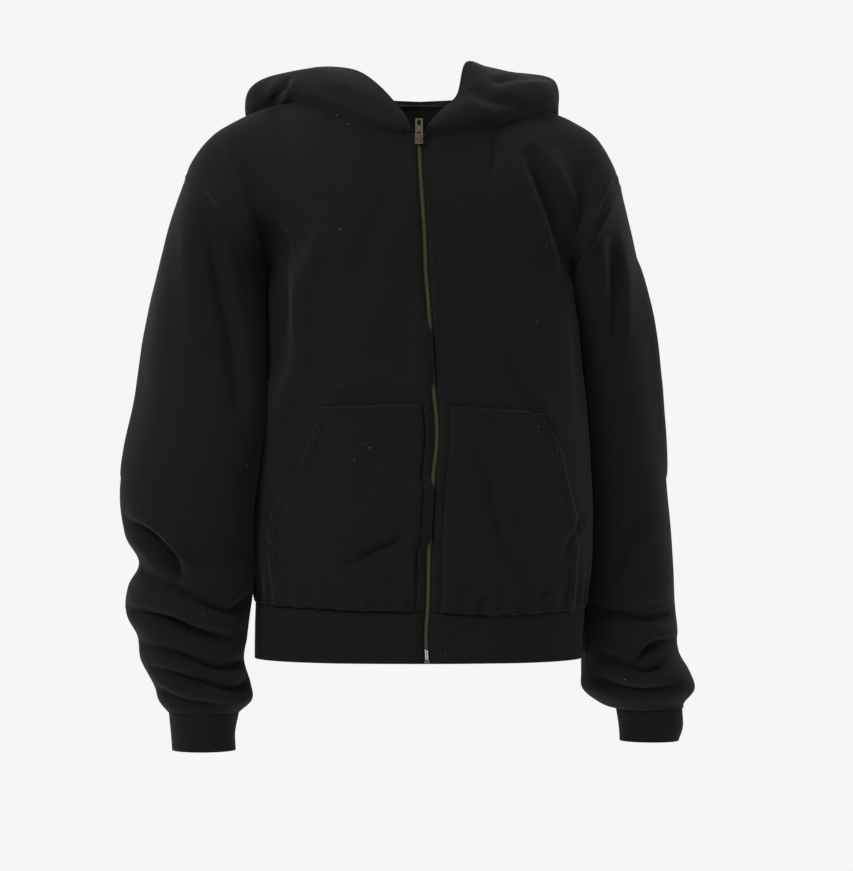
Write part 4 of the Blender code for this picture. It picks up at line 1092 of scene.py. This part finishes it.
def cover_zip(front):
    """Turn the edge of the right front over the chain where the zip hides."""
    heights = front[:, 0, 2]
    for low, high, reach in ZIP_COVER:
        rise = np.clip((heights - low) / 16.0, 0.0, 1.0) * np.clip((high - heights) / 16.0, 0.0, 1.0)
        rise = rise**2 * (3 - 2 * rise)
        for index in range(4):
            share = 1.0 - index / 4.0
            front[:, index, 0] += rise * reach * share
            front[:, index, 1] -= rise * 3.4 * share**0.5
    return front


def body_surface(side, end):
    if end in SURFACE:
        return SURFACE[end]
    grid = front_grid(side)
    normals = outward_normals(grid, (0, 0, 0))
    name = "front_" + end
    moved = folded(name, grid, normals, seed=3 + side)
    from_seam = grid[..., 2] - grid[:1, :, 2]
    moved = moved + normals * (gathers(grid, from_seam) * edge_fade(grid, False, 30))[..., None]
    if side == RIGHT:
        moved = cover_zip(moved)
    SURFACE[end] = (moved, outward_normals(moved, (0, 0, 0)))
    return SURFACE[end]


def band_surface():
    if "band" not in SURFACE:
        grid = band_grid(BAND_STEPS["round"], BAND_STEPS["long"])
        normals = outward_normals(grid, (0, 0, 0))
        waves = cloth_waves(grid, 11) * 0.7 * edge_fade(grid, False, 8)
        grid = grid + normals * waves[..., None]
        SURFACE["band"] = (grid, outward_normals(grid, (0, 0, 0)))
    return SURFACE["band"]


class HOODIE_OT_fronts(Operator):
    """Build the two fronts with their folds"""
    bl_idname = "hoodie.fronts"
    bl_label = "Fronts"

    def execute(self, context):
        sizes = context.scene.hoodie_sizes
        for side, end in ENDS:
            grid, normals = turned_in(*body_surface(side, end), edge="last", rows=SEAM_ROWS)
            grid, _ = turned_in(grid, normals, "high", SHOULDER_ROWS)
            cloth_piece("front_" + end + "_cloth", grid, sizes.fleece_wall / MM, paints()["fleece"],
                        ("front_" + end,))
        return {"FINISHED"}


class HOODIE_OT_back(Operator):
    """Build the back with its folds"""
    bl_idname = "hoodie.back"
    bl_label = "Back"

    def execute(self, context):
        halves = [back_half_grid(side, BACK_STEPS["middle"], BACK_STEPS["lower"], BACK_STEPS["upper"])
                  for side in (RIGHT, LEFT)]
        grid = np.concatenate((halves[0][:, ::-1], halves[1][:, 1:]), axis=1)
        normals = outward_normals(grid, (0, 0, 0))
        moved = folded("back", grid, normals, seed=7)
        from_seam = grid[..., 2] - grid[:1, :, 2]
        moved = moved + normals * (gathers(grid, from_seam) * edge_fade(grid, False, 30))[..., None]
        SURFACE["back"] = (moved, outward_normals(moved, (0, 0, 0)))
        grid, normals = SURFACE["back"]
        for edge in ("first", "last"):
            grid, normals = turned_in(grid, normals, edge, SEAM_ROWS)
        grid, normals = turned_in(grid, normals, "high", SHOULDER_ROWS)
        cloth_piece("back_cloth", grid, context.scene.hoodie_sizes.fleece_wall / MM,
                    paints()["fleece"], ("back",))
        return {"FINISHED"}


class HOODIE_OT_sleeves(Operator):
    """Build the sleeves, bunched above their cuffs"""
    bl_idname = "hoodie.sleeves"
    bl_label = "Sleeves"

    def execute(self, context):
        for side, end in ENDS:
            name = "sleeve_" + end
            grid = sleeve_grid(side, SLEEVE_STEPS["round"], SLEEVE_STEPS["long"])
            middle = grid[:, :-1].mean(axis=1, keepdims=True)
            normals = outward_normals(grid, middle, closed=True)
            moved = folded(name, grid, normals, seed=13 + side, closed=True)
            moved[1:] = clear_of_torso(moved[1:], SLEEVE_TO_TORSO)
            SURFACE[name] = (moved, outward_normals(moved, middle, closed=True))
            cloth_piece(name + "_cloth", turned_in(*SURFACE[name])[0], context.scene.hoodie_sizes.fleece_wall / MM,
                        paints()["fleece"], (name,), closed=True)
        return {"FINISHED"}


class HOODIE_OT_bands(Operator):
    """Build the cuffs and the hem band"""
    bl_idname = "hoodie.bands"
    bl_label = "Cuffs and hem band"

    def execute(self, context):
        wall = context.scene.hoodie_sizes.band_wall / MM
        for side, end in ENDS:
            grid = cuff_grid(side, 120, 36)
            middle = grid[:, :-1].mean(axis=1, keepdims=True)
            normals = outward_normals(grid, middle, closed=True)
            grid = grid + normals * (cloth_waves(grid, 17 + side) * 0.5)[..., None]
            SURFACE["cuff_" + end] = (grid, normals)
            cloth_piece("cuff_" + end + "_band", grid, wall, paints()["band"],
                        ("cuff_" + end,), closed=True)
        grid, normals = band_surface()
        cloth_piece("hem_band_band", turned_in(grid, normals, "high", SEAM_ROWS)[0], wall, paints()["band"], ("hem_band",))
        return {"FINISHED"}


class HOODIE_OT_hood(Operator):
    """Build the two halves of the hood, lying open on the shoulders"""
    bl_idname = "hoodie.hood"
    bl_label = "Hood"

    def execute(self, context):
        for side, end in ENDS:
            name = "hood_" + end
            grid = hood_grid(side, HOOD_STEPS["strips"], HOOD_STEPS["round"])
            normals = outward_normals(grid, (0, 0, 0))
            moved = folded(name, grid, normals, seed=23 + side)
            moved[:, -1, 0] -= side * 0.8
            SURFACE[name] = (moved, outward_normals(moved, (0, 0, 0)))
            grid, _ = turned_in(*SURFACE[name], rows=SEAM_ROWS)
            cloth_piece(name + "_cloth", grid, context.scene.hoodie_sizes.fleece_wall / MM,
                        paints()["fleece"], (name,))
        return {"FINISHED"}


class HOODIE_OT_pockets(Operator):
    """Build the two halves of the kangaroo pocket, on the fronts"""
    bl_idname = "hoodie.pockets"
    bl_label = "Pockets"

    def execute(self, context):
        rows, columns = FRONT_ROWS["pocket"] + 1, FRONT_COLUMNS["pocket"] + 2
        for side, end in ENDS:
            front, normals = body_surface(side, end)
            grid = (front + normals * (WALL + LAY_GAP))[:rows, 1:columns]
            SURFACE["pocket_" + end] = (grid, normals[:rows, 1:columns])
            cloth_piece("pocket_" + end + "_cloth", grid, context.scene.hoodie_sizes.fleece_wall / MM,
                        paints()["fleece"], ("pocket_" + end,))
        return {"FINISHED"}


class HOODIE_OT_zip(Operator):
    """Build the zip's tapes, teeth and bottom stop, and give the slider and pull tab their brass finish"""
    bl_idname = "hoodie.zip"
    bl_label = "Zip"

    def execute(self, context):
        band, _ = band_surface()
        edges = []
        for (side, end), first, second in zip(ENDS, (0, -1), (1, -2)):
            front = front_grid(side)
            strip = np.concatenate((band[:, (first, second)], front[:, :2]))
            inward = outward_normals(strip, (0, 0, 0))
            tape = strip - inward * (RIB_WALL / 2 + LAY_GAP + TAPE_THICKNESS / 2)
            tape[:, 0, 0] -= side * 1.8
            cloth_piece("zip_tape_" + end + "_weave", tape[:-2], TAPE_THICKNESS, paints()["tape"],
                        ("zip_tape_" + end,))
            edges.append(strip[:, 0])
        line = (edges[0] + edges[1]) / 2
        line = line[line[:, 2] < -66.0]
        reach = np.concatenate(([0.0], np.linalg.norm(np.diff(line, axis=0), axis=1).cumsum()))
        places = []
        count = int(reach[-1] / TOOTH["pitch"]) * 2
        for index in range(1, count):
            at = index * TOOTH["pitch"] / 2
            middle = np.array([np.interp(at, reach, line[:, axis]) for axis in range(3)])
            side = RIGHT if index % 2 else LEFT
            places.append((middle + (side * 0.95, -0.3, 0.0), (side, 0, 0), (0, -1.0, 0)))
        teeth = boxes("zip_teeth", places, (TOOTH["length"], TOOTH["height"], TOOTH["thickness"]),
                      GARMENT, paints()["metal"], taper=0.82)
        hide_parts("zip_chain")
        boxes("zip_bottom_stop", [(line[0] + (0.0, -0.6, 2.0), (1, 0, 0), (0, -1.0, 0))],
              (6.6, 4.6, 3.4), GARMENT, paints()["metal"], taper=0.85)
        for node in ("zip_slider", "zip_pull"):
            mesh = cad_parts[node].data
            mesh.materials.clear()
            mesh.materials.append(paints()["metal"])
        return {"FINISHED"}


def seam_lines():
    """Topstitched seams: a line of points, their normals, and the width of the seam."""
    lines = []
    wide, narrow = RIBBON["wide"], RIBBON["narrow"]
    chest = FRONT_ROWS["pocket"] + FRONT_ROWS["chest"]
    for side, end in ENDS:
        front, out = body_surface(side, end)
        pocket, pocket_out = SURFACE["pocket_" + end]
        hood, hood_out = SURFACE["hood_" + end]
        beyond = FRONT_COLUMNS["pocket"] + 3
        lines.append((front[2:-2, 1] - (side * 4.5, 0, 0), out[2:-2, 1], narrow))
        lines.append((front[2, beyond:-1], out[2, beyond:-1], wide))
        lines.append((front[chest:-2, -3], out[chest:-2, -3], narrow))
        lines.append((pocket[2, 1:-1], pocket_out[2, 1:-1], wide))
        lines.append((pocket[-3, 1:-2], pocket_out[-3, 1:-2], wide))
        lines.append((pocket[3:-4, -4], pocket_out[3:-4, -4], wide))
        lines.append((hood[3, 2:-1], hood_out[3, 2:-1], wide))
    back, out = SURFACE["back"]
    lines.append((back[2, 2:-2], out[2, 2:-2], wide))
    return lines


def seam_ribbon(name, lines, paint):
    """Cloth drawn up on both sides of each line of stitches, as one closed strip a seam."""
    shape = bmesh.new()
    for points, outs, width in lines:
        along = np.gradient(points, axis=0)
        across = np.cross(outs, along)
        across = across / np.maximum(np.linalg.norm(across, axis=-1, keepdims=True), 1e-9)
        rings = [points + across * width * u + outs * (WALL / 2 + RIBBON["height"] * v)
                 for u, v in RIBBON["profile"]]
        rings = [[shape.verts.new(point * MM) for point in ring] for ring in rings]
        count = len(rings)
        for index, ring in enumerate(rings):
            following = rings[(index + 1) % count]
            for step in range(len(ring) - 1):
                face = shape.faces.new((ring[step], following[step], following[step + 1],
                                        ring[step + 1]))
                face.smooth = True
        for step in (0, -1):
            shape.faces.new([ring[step] for ring in rings])
    bmesh.ops.recalc_face_normals(shape, faces=shape.faces)
    thing = new_piece(name, shape, GARMENT)
    thing.data.materials.append(paint)
    return thing


class HOODIE_OT_stitching(Operator):
    """Lay the topstitching along the seams"""
    bl_idname = "hoodie.stitching"
    bl_label = "Stitching"

    def execute(self, context):
        lines = seam_lines()
        seam_ribbon("seam_ridges", lines, paints()["fleece"])
        places = []
        for points, outs, width in lines:
            along = np.gradient(points, axis=0)
            across = np.cross(outs, along)
            across = across / np.maximum(np.linalg.norm(across, axis=-1, keepdims=True), 1e-9)
            for offset in (-RIBBON["groove"], RIBBON["groove"]):
                places += stitch_run(points + across * width * offset, outs, gap=0.1)
        boxes("topstitching", places, (STITCH["length"], STITCH["width"], STITCH["proud"]),
              GARMENT, paints()["thread"])
        return {"FINISHED"}


class HOODIE_OT_stage(Operator):
    """Set up the pale floor and backdrop, the soft studio light and the camera"""
    bl_idname = "hoodie.stage"
    bl_label = "Stage"

    def execute(self, context):
        scene = context.scene
        floor = -scene.hoodie_sizes.floor_depth
        pale = tuple(scene.hoodie_colours.backdrop)
        paint = bpy.data.materials.new("studio_floor")
        paint.use_nodes = True
        tree = paint.node_tree
        shader = tree.nodes["Principled BSDF"]
        shader.inputs["Base Color"].default_value = (*pale, 1.0)
        shader.inputs["Roughness"].default_value = 0.95
        shader.inputs["Specular IOR Level"].default_value = 0.1
        place = tree.nodes.new("ShaderNodeTexCoord")
        reach = tree.nodes.new("ShaderNodeVectorMath")
        reach.operation = "LENGTH"
        fade = tree.nodes.new("ShaderNodeMapRange")
        fade.interpolation_type = "SMOOTHSTEP"
        fade.inputs["From Min"].default_value = FLOOR["solid"]
        fade.inputs["From Max"].default_value = FLOOR["radius"]
        clear = tree.nodes.new("ShaderNodeBsdfTransparent")
        mixed = tree.nodes.new("ShaderNodeMixShader")
        link_chain(
            tree,
            (place.outputs["UV"], reach.inputs[0]),
            (reach.outputs["Value"], fade.inputs["Value"]),
            (fade.outputs["Result"], mixed.inputs[0]),
            (shader.outputs["BSDF"], mixed.inputs[1]),
            (clear.outputs["BSDF"], mixed.inputs[2]),
            (mixed.outputs["Shader"], tree.nodes["Material Output"].inputs["Surface"]),
        )
        shape = bmesh.new()
        bmesh.ops.create_grid(shape, x_segments=24, y_segments=24, size=FLOOR["radius"])
        layer = shape.loops.layers.uv.new("floor")
        for vert in shape.verts:
            for loop in vert.link_loops:
                loop[layer].uv = (vert.co.x, vert.co.y)
            vert.co.z = -scene.hoodie_sizes.floor_depth
        mesh = bpy.data.meshes.new("studio_floor")
        shape.to_mesh(mesh)
        shape.free()
        mesh.materials.append(paint)
        ground = bpy.data.objects.new("studio_floor", mesh)
        scene.collection.objects.link(ground)

        world = bpy.data.worlds.new("studio")
        world.use_nodes = True
        tree = world.node_tree
        soft = tree.nodes["Background"]
        soft.inputs["Color"].default_value = (1.0, 1.0, 1.0, 1.0)
        soft.inputs["Strength"].default_value = 0.45
        seen = tree.nodes.new("ShaderNodeBackground")
        seen.inputs["Color"].default_value = (1.0, 1.0, 1.0, 1.0)
        seen.inputs["Strength"].default_value = 0.92
        path = tree.nodes.new("ShaderNodeLightPath")
        mixed = tree.nodes.new("ShaderNodeMixShader")
        link_chain(
            tree,
            (path.outputs["Is Camera Ray"], mixed.inputs[0]),
            (soft.outputs["Background"], mixed.inputs[1]),
            (seen.outputs["Background"], mixed.inputs[2]),
            (mixed.outputs["Shader"], tree.nodes["World Output"].inputs["Surface"]),
        )
        scene.world = world
        for name, place, aim, size, power in LAMPS:
            light = bpy.data.lights.new(name, "AREA")
            light.size = size
            light.energy = power
            lamp = bpy.data.objects.new(name, light)
            lamp.location = place
            direction = np.array(aim) - np.array(place)
            lamp.rotation_euler = (
                math.atan2(math.hypot(direction[0], direction[1]), -direction[2]), 0.0,
                math.atan2(direction[1], direction[0]) - math.pi / 2)
            scene.collection.objects.link(lamp)

        distance = 3.6
        half_height = 0.5008
        camera = bpy.data.cameras.new("camera")
        camera.sensor_width = 36.0
        camera.lens = camera.sensor_width / 2 * distance / half_height
        eye = bpy.data.objects.new("camera", camera)
        eye.location = (0.012, -distance, -0.391)
        eye.rotation_euler = (math.pi / 2, 0.0, 0.0)
        scene.collection.objects.link(eye)
        scene.camera = eye
        scene.view_settings.view_transform = "Standard"
        return {"FINISHED"}


class HOODIE_PT_panel(Panel):
    """Sizes, colours and pieces of the hoodie"""
    bl_label = "Hoodie"
    bl_idname = "HOODIE_PT_panel"
    bl_space_type = "VIEW_3D"
    bl_region_type = "UI"
    bl_category = "Hoodie"

    def draw(self, context):
        layout = self.layout
        for group in (context.scene.hoodie_sizes, context.scene.hoodie_colours):
            for name in group.__annotations__:
                layout.prop(group, name)
        for operator in OPERATORS:
            layout.operator(operator.bl_idname)


OPERATORS = (
    HOODIE_OT_fronts, HOODIE_OT_back, HOODIE_OT_sleeves, HOODIE_OT_bands, HOODIE_OT_hood,
    HOODIE_OT_pockets, HOODIE_OT_zip, HOODIE_OT_stitching, HOODIE_OT_stage,
)
CLASSES = (HoodieSizes, HoodieColours) + OPERATORS + (HOODIE_PT_panel,)


def register():
    for item in CLASSES:
        bpy.utils.register_class(item)
    bpy.types.Scene.hoodie_sizes = PointerProperty(type=HoodieSizes)
    bpy.types.Scene.hoodie_colours = PointerProperty(type=HoodieColours)


def unregister():
    del bpy.types.Scene.hoodie_colours
    del bpy.types.Scene.hoodie_sizes
    for item in reversed(CLASSES):
        bpy.utils.unregister_class(item)


def main():
    register()
    bpy.ops.hoodie.fronts()
    bpy.ops.hoodie.back()
    bpy.ops.hoodie.sleeves()
    bpy.ops.hoodie.bands()
    bpy.ops.hoodie.hood()
    bpy.ops.hoodie.pockets()
    bpy.ops.hoodie.zip()
    bpy.ops.hoodie.stitching()
    bpy.ops.hoodie.stage()


if __name__ == "__main__":
    main()
